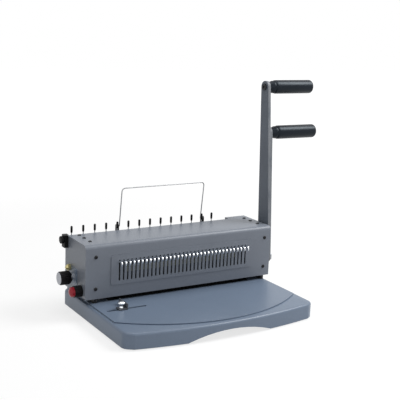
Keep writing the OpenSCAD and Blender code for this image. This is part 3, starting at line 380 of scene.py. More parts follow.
arm_paint, arm_where = start("arm_paint")
arm_normal = arm_where.node("ShaderNodeTexCoord", {}, {}, out="Normal")
arm_side = arm_where.node("ShaderNodeSeparateXYZ", {}, {"Vector": arm_normal}, out="X")
# Mask of the narrow edges: their lighter colour is partly wear and partly painted light.
arm_edge = 1 - fade(arm_side.maths("ABSOLUTE", arm_side, 0.0), *EDGE_LOOK)
arm_patches = noise(arm_where, ARM_PATCH, 4)
arm_streaks = noise(stretched(arm_where, ALONG_Z), ARM_STREAK, 3)
arm_tone = 0.6 * arm_patches + 0.4 * arm_streaks
arm_coat = mix(arm_tone, linear(*ARM_SLATE, gain=ARM_DARK), linear(*ARM_SLATE, gain=ARM_LIGHT))
# Lighter edge colour: partly wear, partly painted light for the light the edges catch.
arm_worn_and_lit = mix(arm_streaks, linear(*ARM_EDGE_WORN_AND_LIT, gain=ARM_DARK), linear(*ARM_EDGE_WORN_AND_LIT, gain=WORN_AND_LIT_GAIN))
arm_links = {
    "Base Color": mix(arm_edge * fade(arm_patches, *EDGE_PATCH_FADE), arm_coat, arm_worn_and_lit),
    "Roughness": 0.42 + 0.16 * arm_streaks,
    "Normal": bump(arm_patches, ARM_RELIEF),
}
finishes["arm_paint"] = shade(arm_paint, arm_links, {"Specular IOR Level": PAINT_GLEAM})
print("arm paint with worn edges:", arm_paint.name)

# %% [markdown]
# ## Plastic and rubber
# Moulded plastic copies the spark-eroded skin of its mould: tiny rounded grains, with gloss that
# changes where hands have polished it. Cells make that skin better than plain noise does. The
# photo shows a bluish sheen on the grips, so their reflections get a tint of their own.

# %% Plastic
HANDLED_SIZE = 26 * MM
HANDLED_DARK = 0.8
HANDLED_LIGHT = 1.25
LACQUER_ROUGHNESS = 0.1
GRIP_SHEEN = (0.76, 0.9, 1.0, 1.0)


def moulded(name, colour, grain, relief, roughness, gleam, coat=0.0):
    """Moulded plastic or rubber with a cellular skin."""
    material, where = start(name)
    skin = {"Vector": where, "Scale": 1 / grain}
    cells = where.node("ShaderNodeTexVoronoi", {"feature": "SMOOTH_F1"}, skin)
    handled = noise(where, HANDLED_SIZE, 3)
    dark = linear(*colour, gain=HANDLED_DARK)
    light = linear(*colour, gain=HANDLED_LIGHT)
    gloss = roughness + 0.16 * handled - 0.08 * cells
    links = {"Base Color": mix(handled, dark, light), "Roughness": gloss, "Normal": bump(cells, relief)}
    settings = {
        "Coat Weight": coat,
        "Coat Roughness": LACQUER_ROUGHNESS,
        "Specular IOR Level": gleam,
    }
    return shade(material, links, settings)


finishes["grip_plastic"] = moulded(
    "grip_plastic", (12, 16, 24), grain=0.9 * MM, relief=0.002 * MM, roughness=0.3, gleam=0.24
)
shade(finishes["grip_plastic"], {}, {"Specular Tint": GRIP_SHEEN})
finishes["black_plastic"] = moulded(
    "black_plastic", (14, 14, 16), grain=0.8 * MM, relief=0.02 * MM, roughness=0.42, gleam=0.14
)
finishes["rubber"] = moulded(
    "rubber", (26, 26, 26), grain=0.6 * MM, relief=0.05 * MM, roughness=0.72, gleam=0.2
)
finishes["red_plastic"] = moulded(
    "red_plastic", (158, 22, 40), grain=3.0 * MM, relief=0.01 * MM, roughness=0.26, gleam=0.3, coat=0.1
)
print("plastics:", ["grip_plastic", "black_plastic", "rubber", "red_plastic"])

# %% [markdown]
# ## Bare metal
# Metal shows how it was made: milling and brushing leave streaks, plating hides them under a
# mirror, and hands leave smears. The streaks are noise on coordinates drawn out along one axis.
# Blackened steel is the exception: its oxide skin looks more like plastic, so it is made as one.

# %% Metal
LINE_SIZE = 0.5 * MM
LINE_DARK = 0.84
LINE_BRIGHT = 1.1
SMEAR_SIZE = 9 * MM
SMEAR_FADE = (0.42, 0.72)
TARNISHED = 0.45
ALONG_X = (0.02, 1, 1)
ALONG_Y = (1, 0.02, 1)
ALL_WAYS = (1, 1, 1)


def metal(name, colour, roughness, streaks, relief, tarnish=0.1, metallic=1.0):
    """Metal with streaks, smears and a touch of tarnish."""
    material, where = start(name)
    lines = noise(stretched(where, streaks), LINE_SIZE, 2)
    smears = fade(noise(where, SMEAR_SIZE, 4), *SMEAR_FADE)
    bright = mix(lines, linear(*colour, gain=LINE_DARK), linear(*colour, gain=LINE_BRIGHT))
    aged = mix(tarnish * smears, bright, linear(*colour, gain=TARNISHED))
    gloss = roughness + 0.12 * smears + 0.08 * lines
    links = {"Base Color": aged, "Roughness": gloss, "Normal": bump(lines, relief)}
    return shade(material, links, {"Metallic": metallic})


finishes["machined_steel"] = metal(
    "machined_steel", (172, 174, 178), roughness=0.3, streaks=ALONG_X, relief=0.01 * MM
)
finishes["bright_chrome"] = metal(
    "bright_chrome", (228, 231, 235), roughness=0.08, streaks=ALL_WAYS, relief=0.002 * MM, tarnish=0.05
)
finishes["bronze"] = metal(
    "bronze", (186, 148, 92), roughness=0.3, streaks=ALONG_X, relief=0.01 * MM, tarnish=0.4
)
finishes["brass"] = metal(
    "brass", (200, 190, 142), roughness=0.3, streaks=ALL_WAYS, relief=0.006 * MM, tarnish=0.5
)
finishes["wire_steel"] = metal(
    "wire_steel", (158, 159, 161), roughness=0.26, streaks=ALL_WAYS, relief=0.006 * MM
)
finishes["dial_face"] = metal(
    "dial_face", (176, 179, 185), roughness=0.42, streaks=ALONG_Y, relief=0.008 * MM, metallic=0.7
)
finishes["black_metal"] = moulded(
    "black_metal", (22, 23, 26), grain=1.4 * MM, relief=0.02 * MM, roughness=0.44, gleam=0.3
)
# Dark steel for the running parts inside: its darkness is painted shade for the machine's shadow.
painted_shade_steel = metal(
    "painted_shade_steel", (74, 75, 78), roughness=0.46, streaks=ALONG_X, relief=0.01 * MM, tarnish=0.5
)
print("finishes so far:", len(finishes), "and", painted_shade_steel.name)

# %% [markdown]
# ## The hook bar
# Behind the slots the bar shows in three bands: black round the roots of the hooks, which is
# painted shade for the shadow of the hooks and slot tops, a strip of olive passivated steel below
# them, and black again towards both ends of the row. Three materials on three face sets would
# leave hard borders. Height and length, read from the Object coordinates in metres, decide the
# band instead, and a noise makes its border wander.

# %% Hook bar steel
hook_low, hook_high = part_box("hooks")
OLIVE_TOP = hook_low.z - 3 * MM
OLIVE_LEFT = hook_low.x + 14 * MM
OLIVE_RIGHT = hook_high.x - 24 * MM
BAND_SOFT = 1.5 * MM
BAND_WANDER = 2 * MM
OLIVE_DARK = (104, 106, 92)
OLIVE_LIGHT = (136, 138, 118)
BAR_BLACK_DARK = (10, 11, 14)
BAR_BLACK_LIGHT = (22, 24, 28)
BAR_LINE_SIZE = 0.6 * MM
MOTTLE_SIZE = 7 * MM
BAR_RELIEF = 0.01 * MM
BAR_GLEAM = 0.3

hook_bar_steel, bar_where = start("hook_bar_steel")
bar_x = bar_where.node("ShaderNodeSeparateXYZ", {}, {"Vector": bar_where}, out="X")
bar_z = bar_where.node("ShaderNodeSeparateXYZ", {}, {"Vector": bar_where}, out="Z")
bar_lines = noise(stretched(bar_where, ALONG_X), BAR_LINE_SIZE, 3)
bar_mottle = noise(bar_where, MOTTLE_SIZE, 4)
# Above this border the bar is black: painted shade where the hooks and slot tops shadow it.
below_hooks = 1 - fade(bar_z + BAND_WANDER * bar_mottle, OLIVE_TOP, OLIVE_TOP + BAND_SOFT)
past_left = fade(bar_x, OLIVE_LEFT, OLIVE_LEFT + BAND_SOFT)
before_right = 1 - fade(bar_x, OLIVE_RIGHT, OLIVE_RIGHT + BAND_SOFT)
olive_band = below_hooks * (past_left * before_right)
bar_olive = mix(bar_lines, linear(*OLIVE_DARK), linear(*OLIVE_LIGHT))
# The black of the bar: painted shade round the hook roots, and the same black at both ends.
bar_black = mix(bar_mottle, linear(*BAR_BLACK_DARK), linear(*BAR_BLACK_LIGHT))
bar_links = {
    "Base Color": mix(olive_band, bar_black, bar_olive),
    "Roughness": 0.45 + 0.2 * bar_mottle,
    "Normal": bump(bar_lines, BAR_RELIEF),
}
finishes["hook_bar_steel"] = shade(hook_bar_steel, bar_links, {"Specular IOR Level": BAR_GLEAM})
print("olive strip from x", round(OLIVE_LEFT, 4), "to", round(OLIVE_RIGHT, 4))

# %% [markdown]
# ## Lever grips
# Both levers end in a turned plastic grip: a slim neck at the arm, a flare, a groove where the
# mould closes, and a straight barrel with a rounded end. A grip is round all along, so its outline
# says everything. Extruding and bevelling a cylinder would fix that outline too early; a small
# lathe keeps it as a list of distances and radii that is easy to change.

# %% Lathe
SHARP_TURN = math.radians(40)
FLUTE_SHARP = 8


def linked(name, data):
    """An object for a mesh or a text, put in the scene."""
    made = bpy.data.objects.new(name, data)
    scene.collection.objects.link(made)
    return made


def turned_ring(height, radius, segments, flutes, depth):
    """The points of one ring of a turned shape, or its single point where the radius is 0."""
    if not radius:
        return [(0.0, 0.0, height)]
    points = []
    for step in range(segments):
        angle = 2 * math.pi * step / segments
        groove = depth * math.cos(flutes * angle / 2) ** FLUTE_SHARP if flutes else 0.0
        points.append(((radius - groove) * math.cos(angle), (radius - groove) * math.sin(angle), height))
    return points


def turned(name, outline, place, segments=48, flutes=0, depth=0.0):
    """A round shape from (height, radius) points about +Z, in its place, fluted if asked."""
    shape = bmesh.new()
    rings = []
    for height, radius in outline:
        ring = turned_ring(height, radius, segments, flutes, depth)
        rings.append([shape.verts.new(point) for point in ring])
    for low, high in zip(rings, rings[1:]):
        for step in range(segments):
            ends = (low[step % len(low)], low[(step + 1) % segments % len(low)])
            tops = (high[(step + 1) % segments % len(high)], high[step % len(high)])
            shape.faces.new(list(dict.fromkeys(ends + tops)))
    bmesh.ops.recalc_face_normals(shape, faces=shape.faces)
    for face in shape.faces:
        face.smooth = True
    for edge in shape.edges:
        edge.smooth = edge.calc_face_angle(0) < SHARP_TURN
    shape.transform(place)
    mesh = bpy.data.meshes.new(name)
    shape.to_mesh(mesh)
    shape.free()
    return linked(name, mesh)


def dress(piece, slot, body, *nodes):
    """Gives a piece its finish and its body, and hides the model's nodes that it stands for."""
    if not piece.data.materials:
        piece.data.materials.append(finishes[slot])
    if nodes:
        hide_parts(*nodes)
    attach(piece, body)
    print(piece.name, "rides on", body, "with", len(piece.data.polygons), "faces")


print("a lathe for round pieces, edges over", round(math.degrees(SHARP_TURN)), "degrees stay sharp")

# %% [markdown]
# ## Outline of a grip
# The neck is given as distances in millimetres and shares of the barrel's radius, so the same list
# serves both grips. The end is a quarter circle. The grips end 4 mm short of the model's own, which
# brings them closer to the photo.

# %% Grips
TO_RIGHT = Matrix.Rotation(math.pi / 2, 4, "Y")
GRIP_NECK = (
    (0, 0), (0, 0.60), (1.5, 0.64), (6, 0.76), (10.5, 0.89), (12.5, 0.91),
    (13.2, 0.85), (15.2, 0.85), (16.2, 0.94), (18, 0.98), (21, 1.0),
)
GRIP_END_ROUND = 5.5 * MM
GRIP_END_STEPS = 6
GRIP_SHORT = 4 * MM


def grip_outline(length, radius):
    """Neck, groove and barrel of a grip, with a quarter circle at its end."""
    points = [(along * MM, radius * share) for along, share in GRIP_NECK]
    for step in range(GRIP_END_STEPS + 1):
        turn = math.pi / 2 * step / GRIP_END_STEPS
        inner = GRIP_END_ROUND * (1 - math.cos(turn))
        points.append((length - GRIP_END_ROUND * (1 - math.sin(turn)), radius - inner))
    return points + [(length, 0)]


for grip, lever in (("punch_grip", "punch_lever"), ("comb_grip", "comb_lever")):
    low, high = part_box(grip)
    middle = Vector((low.x, (low.y + high.y) / 2, (low.z + high.z) / 2))
    outline = grip_outline(high.x - low.x - GRIP_SHORT, (high.z - low.z) / 2)
    grip_piece = turned(grip + "_turned", outline, Matrix.Translation(middle) @ TO_RIGHT)
    dress(grip_piece, "grip_plastic", lever, grip)

# %% [markdown]
# ## Trees for pieces that repeat
# Caps, hooks, springs, screws and ticks come in sets of equal pieces. Copies made one by one in a
# loop would work, but a Geometry Nodes tree keeps the rule of a set in one place. Each tree has
# named inputs for its sizes and ends in real faces, so what it grows becomes a plain mesh.


# %% Trees that grow copies
def grow_tree(name, inputs):
    """A new tree with these named inputs: returns the sockets that they come in by."""
    tree = bpy.data.node_groups.new(name, "GeometryNodeTree")
    tree.interface.new_socket("Geometry", in_out="OUTPUT", socket_type="NodeSocketGeometry")
    for label, kind in {"Geometry": "Geometry", **inputs}.items():
        tree.interface.new_socket(label, in_out="INPUT", socket_type="NodeSocket" + kind)
    entry = tree.nodes.new("NodeGroupInput")
    return {socket.name: Socket(tree, socket) for socket in entry.outputs if socket.name}


def end_tree(copies, material):
    """Ends a tree: copies turn into real faces and take their finish."""
    real = copies.node("GeometryNodeRealizeInstances", {}, {"Geometry": copies})
    coated = copies.node("GeometryNodeSetMaterial", {}, {"Geometry": real, "Material": material})
    copies.tree.links.new(coated.output, copies.tree.nodes.new("NodeGroupOutput").inputs[0])
    return copies.tree


def plain_mesh(maker):
    """The mesh of an object with its modifiers worked out."""
    return bpy.data.meshes.new_from_object(maker.evaluated_get(bpy.context.evaluated_depsgraph_get()))


def grown(name, seats, edges, tree, values):
    """The plain mesh that a tree grows on these seats, in the scene."""
    points = bpy.data.meshes.new(name + "_seats")
    points.from_pydata(seats, edges, [])
    maker = linked(name + "_maker", points)
    growth = maker.modifiers.new("growth", "NODES")
    growth.node_group = tree
    for item in tree.interface.items_tree:
        if item.name in values:
            growth[item.identifier] = values[item.name]
    mesh = plain_mesh(maker)
    bpy.data.objects.remove(maker)
    mesh.name = name
    return linked(name, mesh)


print("helpers for trees:", grow_tree.__name__, end_tree.__name__, grown.__name__)

# %% [markdown]
# ## Pin caps
# Fourteen black caps stand on the pins of the rear rail, each a small moulded sleeve with a rounded
# top. One cap is turned on the lathe, and a tree sets copies of it along a line. Count and pitch
# are the tree's inputs, and the pitch comes from the model, so the caps sit on their pins.

# %% Pin caps
CAP_COUNT = 14
CAP_RADIUS = 2.2 * MM
CAP_HEIGHT = 13 * MM
CAP_SEGMENTS = 20
CAP_OUTLINE = ((0, 0), (0, 0.7), (0.06, 0.92), (0.3, 1), (0.86, 1), (0.95, 0.86), (1, 0.55), (1, 0))

cap_low, cap_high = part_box("pin_caps")
cap_inset = (cap_high.y - cap_low.y) / 2
cap_pitch = (cap_high.x - cap_low.x - 2 * cap_inset) / (CAP_COUNT - 1)
cap_points = [(CAP_HEIGHT * along, CAP_RADIUS * share) for along, share in CAP_OUTLINE]
one_cap = turned("one_cap", cap_points, Matrix.Identity(4), segments=CAP_SEGMENTS)

row = grow_tree("row_of_caps", {"Piece": "Object", "Count": "Int", "Pitch": "Vector"})
row_line = row["Count"].node("GeometryNodeMeshLine", {}, {"Count": row["Count"], "Offset": row["Pitch"]})
row_piece = row["Piece"].node("GeometryNodeObjectInfo", {}, {"Object": row["Piece"]}, out="Geometry")
row_copies = row_line.node(
    "GeometryNodeInstanceOnPoints", {}, {"Points": row_line, "Instance": row_piece}
)
row_start = (cap_low.x + cap_inset, cap_low.y + cap_inset, cap_high.z - CAP_HEIGHT)
row_set = row_line.node("GeometryNodeTransform", {}, {"Geometry": row_copies, "Translation": row_start})
row_tree = end_tree(row_set, finishes["black_plastic"])
cap_values = {"Piece": one_cap, "Count": CAP_COUNT, "Pitch": (cap_pitch, 0.0, 0.0)}
cap_piece = grown("pin_cap_row", [(0, 0, 0)], [], row_tree, cap_values)
dress(cap_piece, "black_plastic", "pin_rail", "pin_caps")
bpy.data.objects.remove(one_cap)

# %% [markdown]
# ## Comb hooks
# Each slot has a plated hook that pulls one ring of the comb open. A hook is a strip bent over
# at its end, so its section is swept along a path with a rounded bend and thins out at the tip.
# Bending a bar with a modifier would stretch the bend; a swept section keeps its width.

# %% Hooks
HOOK_COUNT = 34
HOOK_PITCH = 8.5 * MM
HOOK_BEND = 2.6 * MM
HOOK_ROUND = 0.5 * MM
HOOK_LEAN = 0.8 * MM
HOOK_PLATING = 0.5 * MM
HOOK_TIP = 0.7
TIP_FADE = (0.8, 1.0)
BEND_STEPS = 8
ROUND_STEPS = 3

hook_wide = hook_high.x - hook_low.x - (HOOK_COUNT - 1) * HOOK_PITCH
hook_inputs = {"Width": "Float", "Bend": "Float", "Tip": "Float", "Count": "Int", "Pitch": "Vector"}
hook_row = grow_tree("row_of_hooks", hook_inputs)
hook_path = hook_row["Geometry"].node("GeometryNodeMeshToCurve", {}, {"Mesh": hook_row["Geometry"]})
hook_bent = hook_path.node(
    "GeometryNodeFilletCurve",
    {"mode": "POLY"},
    {"Curve": hook_path, "Count": BEND_STEPS, "Radius": hook_row["Bend"]},
)
hook_square = hook_path.node(
    "GeometryNodeCurvePrimitiveQuadrilateral",
    {},
    {"Width": hook_row["Width"], "Height": hook_row["Width"]},
)
hook_section = hook_path.node(
    "GeometryNodeFilletCurve",
    {"mode": "POLY"},
    {"Curve": hook_square, "Count": ROUND_STEPS, "Radius": HOOK_ROUND},
)
hook_along = hook_path.node("GeometryNodeSplineParameter", {}, {}, out="Factor")
hook_thin = 1 - (1 - hook_row["Tip"]) * fade(hook_along, *TIP_FADE)
hook_swept = hook_path.node(
    "GeometryNodeCurveToMesh",
    {},
    {"Curve": hook_bent, "Profile Curve": hook_section, "Scale": hook_thin, "Fill Caps": True},
)
hook_line = hook_path.node(
    "GeometryNodeMeshLine", {}, {"Count": hook_row["Count"], "Offset": hook_row["Pitch"]}
)
hook_copies = hook_path.node(
    "GeometryNodeInstanceOnPoints", {}, {"Points": hook_line, "Instance": hook_swept}
)
hook_tree = end_tree(hook_copies, finishes["bright_chrome"])

hook_x = hook_low.x + hook_wide / 2
hook_wide = hook_wide + HOOK_PLATING
hook_z = hook_high.z - hook_wide / 2
hook_front = hook_low.y + hook_wide / 2
hook_seats = [
    (hook_x, hook_high.y, hook_z),
    (hook_x, hook_front, hook_z),
    (hook_x, hook_front + HOOK_LEAN, hook_low.z),
]
hook_values = {
    "Width": hook_wide,
    "Bend": HOOK_BEND,
    "Tip": HOOK_TIP,
    "Count": HOOK_COUNT,
    "Pitch": (HOOK_PITCH, 0.0, 0.0),
}
hook_piece = grown("comb_hooks", hook_seats, [(0, 1), (1, 2)], hook_tree, hook_values)
dress(hook_piece, "bright_chrome", "hook_carriage", "hooks")

# %% [markdown]
# ## Return springs
# Two coil springs under the beam lift the punches again. A coil is a rule, radius, rise and turns,
# so a tree sweeps a round wire along a spiral.

# %% Springs
SPRING_WIRE = 1.4 * MM
SPRING_TURNS = 7.0
TURN_STEPS = 40
WIRE_SIDES = 10

low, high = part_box("beam_springs")
spring_reach = (high.y - low.y) / 2
spring_inputs = {"Wire": "Float", "Radius": "Float", "Height": "Float", "Turns": "Float"}
spring_pair = grow_tree("pair_of_springs", spring_inputs)
spring_axis = spring_pair["Turns"].node(
    "GeometryNodeCurveSpiral",
    {},
    {
        "Resolution": TURN_STEPS,
        "Rotations": spring_pair["Turns"],
        "Start Radius": spring_pair["Radius"],
        "End Radius": spring_pair["Radius"],
        "Height": spring_pair["Height"],
    },
)
spring_round = spring_axis.node(
    "GeometryNodeCurvePrimitiveCircle",
    {},
    {"Resolution": WIRE_SIDES, "Radius": spring_pair["Wire"] * 0.5},
)
spring_coil = spring_axis.node(
    "GeometryNodeCurveToMesh",
    {},
    {"Curve": spring_axis, "Profile Curve": spring_round, "Fill Caps": True},
)
spring_copies = spring_axis.node(
    "GeometryNodeInstanceOnPoints", {}, {"Points": spring_pair["Geometry"], "Instance": spring_coil}
)
spring_tree = end_tree(spring_copies, painted_shade_steel)
spring_foot = low.z + SPRING_WIRE / 2
spring_ends = (low.x + spring_reach, high.x - spring_reach)
spring_seats = [(x, low.y + spring_reach, spring_foot) for x in spring_ends]
spring_values = {
    "Wire": SPRING_WIRE,
    "Radius": spring_reach - SPRING_WIRE / 2,
    "Height": high.z - low.z - SPRING_WIRE,
    "Turns": SPRING_TURNS,
}
springs = grown("beam_return_springs", spring_seats, [], spring_tree, spring_values)
dress(springs, "machined_steel", "frame", "beam_springs")
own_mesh(springs)

# %% [markdown]
# ## Cover screws
# Ten black pan-head screws hold the covers. A cross recess tells the eye that they are screws,
# and no two were driven home at the same angle. The recess is cut by a Boolean inside the tree,
# and each copy is turned by its own index.

# %% Screws
SCREW_RADIUS = 3.6 * MM
SCREW_HEIGHT = 1.8 * MM
SCREW_OUTLINE = ((0, 0), (0, 0.96), (0.3, 1), (0.62, 0.92), (0.86, 0.72), (0.97, 0.42), (1, 0))
RECESS_WIDE = 0.9 * MM
RECESS_LONG = 4.0 * MM
RECESS_DEEP = 2.2 * MM
SCREW_TURN = 0.7
SCREW_SEGMENTS = 32

screw_points = [(SCREW_HEIGHT * up, SCREW_RADIUS * share) for up, share in SCREW_OUTLINE]
one_screw = turned("one_screw", screw_points, Matrix.Identity(4), segments=SCREW_SEGMENTS)
screw_inputs = {
    "Piece": "Object",
    "Long": "Float",
    "Wide": "Float",
    "Deep": "Float",
    "Lean": "Float",
    "Turn Y": "Float",
    "Turn Z": "Float",
}
screw_row = grow_tree("screws", screw_inputs)
screw_head = screw_row["Piece"].node(
    "GeometryNodeObjectInfo", {}, {"Object": screw_row["Piece"]}, out="Geometry"
)
cutters = []
for first, second in (("Long", "Wide"), ("Wide", "Long")):
    block = {"X": screw_row[first], "Y": screw_row[second], "Z": screw_row["Deep"]}
    size = screw_head.node("ShaderNodeCombineXYZ", {}, block)
    cube = screw_head.node("GeometryNodeMeshCube", {}, {"Size": size})
    top = {"Geometry": cube, "Translation": (0, 0, SCREW_HEIGHT)}
    cutters.append(screw_head.node("GeometryNodeTransform", {}, top))
screw_cut = screw_head.node(
    "GeometryNodeMeshBoolean", {"operation": "DIFFERENCE"}, {"Mesh 1": screw_head, "Mesh 2": cutters}
)
screw_index = screw_head.node("GeometryNodeInputIndex", {}, {})
turns = {
    "X": screw_row["Lean"],
    "Y": screw_row["Turn Y"] * screw_index,
    "Z": screw_row["Turn Z"] * screw_index,
}
screw_angle = screw_head.node("ShaderNodeCombineXYZ", {}, turns)
screw_copies = screw_head.node(
    "GeometryNodeInstanceOnPoints",
    {},
    {"Points": screw_row["Geometry"], "Instance": screw_cut, "Rotation": screw_angle},
)
screw_tree = end_tree(screw_copies, finishes["black_metal"])
recess = {"Piece": one_screw, "Long": RECESS_LONG, "Wide": RECESS_WIDE, "Deep": RECESS_DEEP}
print("one tree for both sets of screws:", screw_tree.name)

# %% [markdown]
# ## Screws in their places
# Four screws sit on the front, two rows high, and six on the top, three rows deep. One tree serves
# both sets: on the front the heads lean by a quarter turn, and their own turn is about y instead
# of z. Places come from the boxes of the model's own screws, so they follow it if it changes.

# %% Front and top screws
low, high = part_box("front_screws")
columns = (low.x + SCREW_RADIUS, high.x - SCREW_RADIUS)
front_rows = (low.z + SCREW_RADIUS, high.z - SCREW_RADIUS)
front_seats = [(x, low.y + SCREW_HEIGHT, z) for x in columns for z in front_rows]
front_values = {**recess, "Lean": math.pi / 2, "Turn Y": SCREW_TURN, "Turn Z": 0.0}
front_piece = grown("front_cover_screws", front_seats, [], screw_tree, front_values)
dress(front_piece, "black_metal", "frame", "front_screws")

low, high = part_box("top_screws")
TOP_SCREW_MIDDLE = 26.5 * MM
top_rows = (low.y + SCREW_RADIUS, low.y + SCREW_RADIUS + TOP_SCREW_MIDDLE, high.y - SCREW_RADIUS)
top_seats = [(x, y, high.z - SCREW_HEIGHT) for x in columns for y in top_rows]
top_values = {**recess, "Lean": 0.0, "Turn Y": 0.0, "Turn Z": SCREW_TURN}
top_piece = grown("top_cover_screws", top_seats, [], screw_tree, top_values)
dress(top_piece, "black_metal", "frame", "top_screws")
bpy.data.objects.remove(one_screw)

# %% [markdown]
# ## Fluted knobs
# The knob at the left end sets how far the holes lie from the paper's edge, and a smaller one at
# the rear turns the pin rail. Their sides are fluted for grip. A Boolean for every groove would be
# slow, so the lathe draws the radius in at even steps. Both knobs share one outline.

# %% Margin knob and rail knob
TO_LEFT = Matrix.Rotation(-math.pi / 2, 4, "Y")
FLUTE_STEPS = 8
KNOB_FLUTES = 22
KNOB_GROOVE = 0.9 * MM
KNOB_OUTLINE = ((0, 0), (0, 0.86), (0.06, 0.95), (0.14, 1), (0.9, 1), (0.97, 0.96), (1, 0.91), (1, 0))

low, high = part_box("margin_knob")
knob_long = high.x - low.x
knob_radius = (high.z - low.z) / 2
knob_middle = Vector((high.x, (low.y + high.y) / 2, (low.z + high.z) / 2))
knob_points = [(knob_long * along, knob_radius * share) for along, share in KNOB_OUTLINE]
knob_place = Matrix.Translation(knob_middle) @ TO_LEFT
knob_steps = KNOB_FLUTES * FLUTE_STEPS
knob = turned("fluted_knob", knob_points, knob_place, knob_steps, KNOB_FLUTES, KNOB_GROOVE)
dress(knob, "black_plastic", "margin_dial", "margin_knob")

RAIL_KNOB_LONG = 5.7 * MM
RAIL_KNOB_RADIUS = 7.2 * MM
RAIL_KNOB_FLUTES = 14
low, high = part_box("rail_knob")
rail_middle = Vector((high.x, (low.y + high.y) / 2, (low.z + high.z) / 2))
rail_points = [(RAIL_KNOB_LONG * along, RAIL_KNOB_RADIUS * share) for along, share in KNOB_OUTLINE]
rail_place = Matrix.Translation(rail_middle) @ TO_LEFT
rail_steps = RAIL_KNOB_FLUTES * FLUTE_STEPS
rail_piece = turned("fluted_rail_knob", rail_points, rail_place, rail_steps, RAIL_KNOB_FLUTES, KNOB_GROOVE)
dress(rail_piece, "black_plastic", "pin_rail", "rail_knob")

# %% [markdown]
# ## Scale of the margin knob
# Ticks and plain numbers on the plate behind the knob show the setting. They could be painted on
# by a texture, but a shape stays sharp close up. A tree sets and turns the ticks along an arc. The
# numbers are text that is made a mesh first and placed after that.

# %% Ticks and numbers
SCALE_RADIUS = 15.5 * MM
NUMBER_RADIUS = 19.5 * MM
TICK_COUNT = 11
TICK_STEP = math.radians(12)
TICK_SIZE = (0.15 * MM, 2.6 * MM, 0.5 * MM)
TICKS_A_NUMBER = 2
NUMBER_COUNT = 6
NUMBER_SIZE = 3.4 * MM
NUMBER_RELIEF = 0.06 * MM
plate_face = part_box("dial_plate")[0].x


def on_scale(index, radius):
    """A spot on the plate, on an arc round the knob that is centred on its front side."""
    angle = TICK_STEP * (index - (TICK_COUNT - 1) / 2)
    forward = radius * math.cos(angle)
    upward = radius * math.sin(angle)
    return (plate_face, knob_middle.y - forward, knob_middle.z + upward)


ticks = grow_tree("scale_ticks", {"Size": "Vector", "First": "Float", "Step": "Float"})
tick_box = ticks["Size"].node("GeometryNodeMeshCube", {}, {"Size": ticks["Size"]})
tick_index = tick_box.node("GeometryNodeInputIndex", {}, {})
tick_lean = ticks["First"] + ticks["Step"] * tick_index
tick_angle = tick_box.node("ShaderNodeCombineXYZ", {}, {"X": tick_lean})
tick_copies = tick_box.node(
    "GeometryNodeInstanceOnPoints",
    {},
    {"Points": ticks["Geometry"], "Instance": tick_box, "Rotation": tick_angle},
)
tick_tree = end_tree(tick_copies, finishes["dial_face"])
tick_values = {"Size": TICK_SIZE, "First": TICK_STEP * (TICK_COUNT - 1) / 2, "Step": -TICK_STEP}
tick_seats = [on_scale(index, SCALE_RADIUS) for index in range(TICK_COUNT)]
dress(grown("scale_tick_marks", tick_seats, [], tick_tree, tick_values), "dial_face", "frame")

numbers = bmesh.new()
facing_left = Matrix(((0, 0, -1), (-1, 0, 0), (0, 1, 0))).to_4x4()
for number in range(NUMBER_COUNT):
    text = bpy.data.curves.new("number", "FONT")
    text.body = str(number)
    text.size = NUMBER_SIZE
    text.extrude = NUMBER_RELIEF
    text.align_x = "CENTER"
    text.align_y = "CENTER"
    writing = linked("number", text)
    figure = plain_mesh(writing)
    number_spot = on_scale(TICKS_A_NUMBER * number, NUMBER_RADIUS)
    figure.transform(Matrix.Translation(number_spot) @ facing_left)
    numbers.from_mesh(figure)
    bpy.data.objects.remove(writing)
number_mesh = bpy.data.meshes.new("scale_numbers")
numbers.to_mesh(number_mesh)
numbers.free()
dress(linked("scale_numbers", number_mesh), "dial_face", "frame")

# %% [markdown]
# ## Thumb knob
# The paper guide is clamped by a chromed thumb knob: a foot, a waist and a rounded head. Its curves
# run into each other, which makes the reflections flow, so the outline has more points where it
# bends. The stem goes on down through the guide.

# %% Thumb knob
THUMB_OUTLINE = (
    (0, 0), (0, 2.5), (12.8, 2.5), (12.8, 4.3), (13.6, 4.5), (14.3, 4.2), (15.2, 3.6),
    (16.5, 3.3), (17.8, 3.6), (18.6, 4.6), (19.4, 5.8), (20.4, 6.6), (21.5, 7), (22.6, 6.95),
    (23.7, 6.4), (24.7, 5.2), (25.4, 3.4), (25.7, 1.7), (25.8, 0),
)

low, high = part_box("guide_knob")
thumb_place = Matrix.Translation(((low.x + high.x) / 2, (low.y + high.y) / 2, low.z))
thumb_points = [(up * MM, radius * MM) for up, radius in THUMB_OUTLINE]
thumb_piece = turned("turned_thumb_knob", thumb_points, thumb_place)
dress(thumb_piece, "bright_chrome", "guide_knob", "guide_knob")

# %% [markdown]
# ## Edges of the sheet and plate pieces
# A real edge is never knife sharp: a deburred plate catches a thin line of light. The pieces of
# the model are loose triangles with sharp edges. Their meshes stay as they are, and live
# modifiers weld them, clear flat areas of inner lines and round the edges a little. The base is
# only welded, because its top edge is already round in the model.

# %% Edges of the model's own pieces
FLAT_ANGLE = math.radians(1)
EDGE_ANGLE = math.radians(34)
EDGE_SEGMENTS = 2
WELD_REACH = 0.002 * MM
EDGE_ROUND = {
    "punch_arm": 0.9,
    "comb_arm": 0.9,
    "top_cover": 0.35,
    "rear_cover": 0.35,
    "comb_plate": 0.8,
    "rail_block": 0.6,
    "side_guide": 0.35,
    "table_plate": 0.6,
    "hook_bar": 0.3,
    "chip_tray": 0.4,
    "rest_brackets": 0.3,
    "button_barrel": 0.5,
    "knob_cap": 0.3,
    "comb_hub_nut": 0.4,
    "feet": 0.5,
}


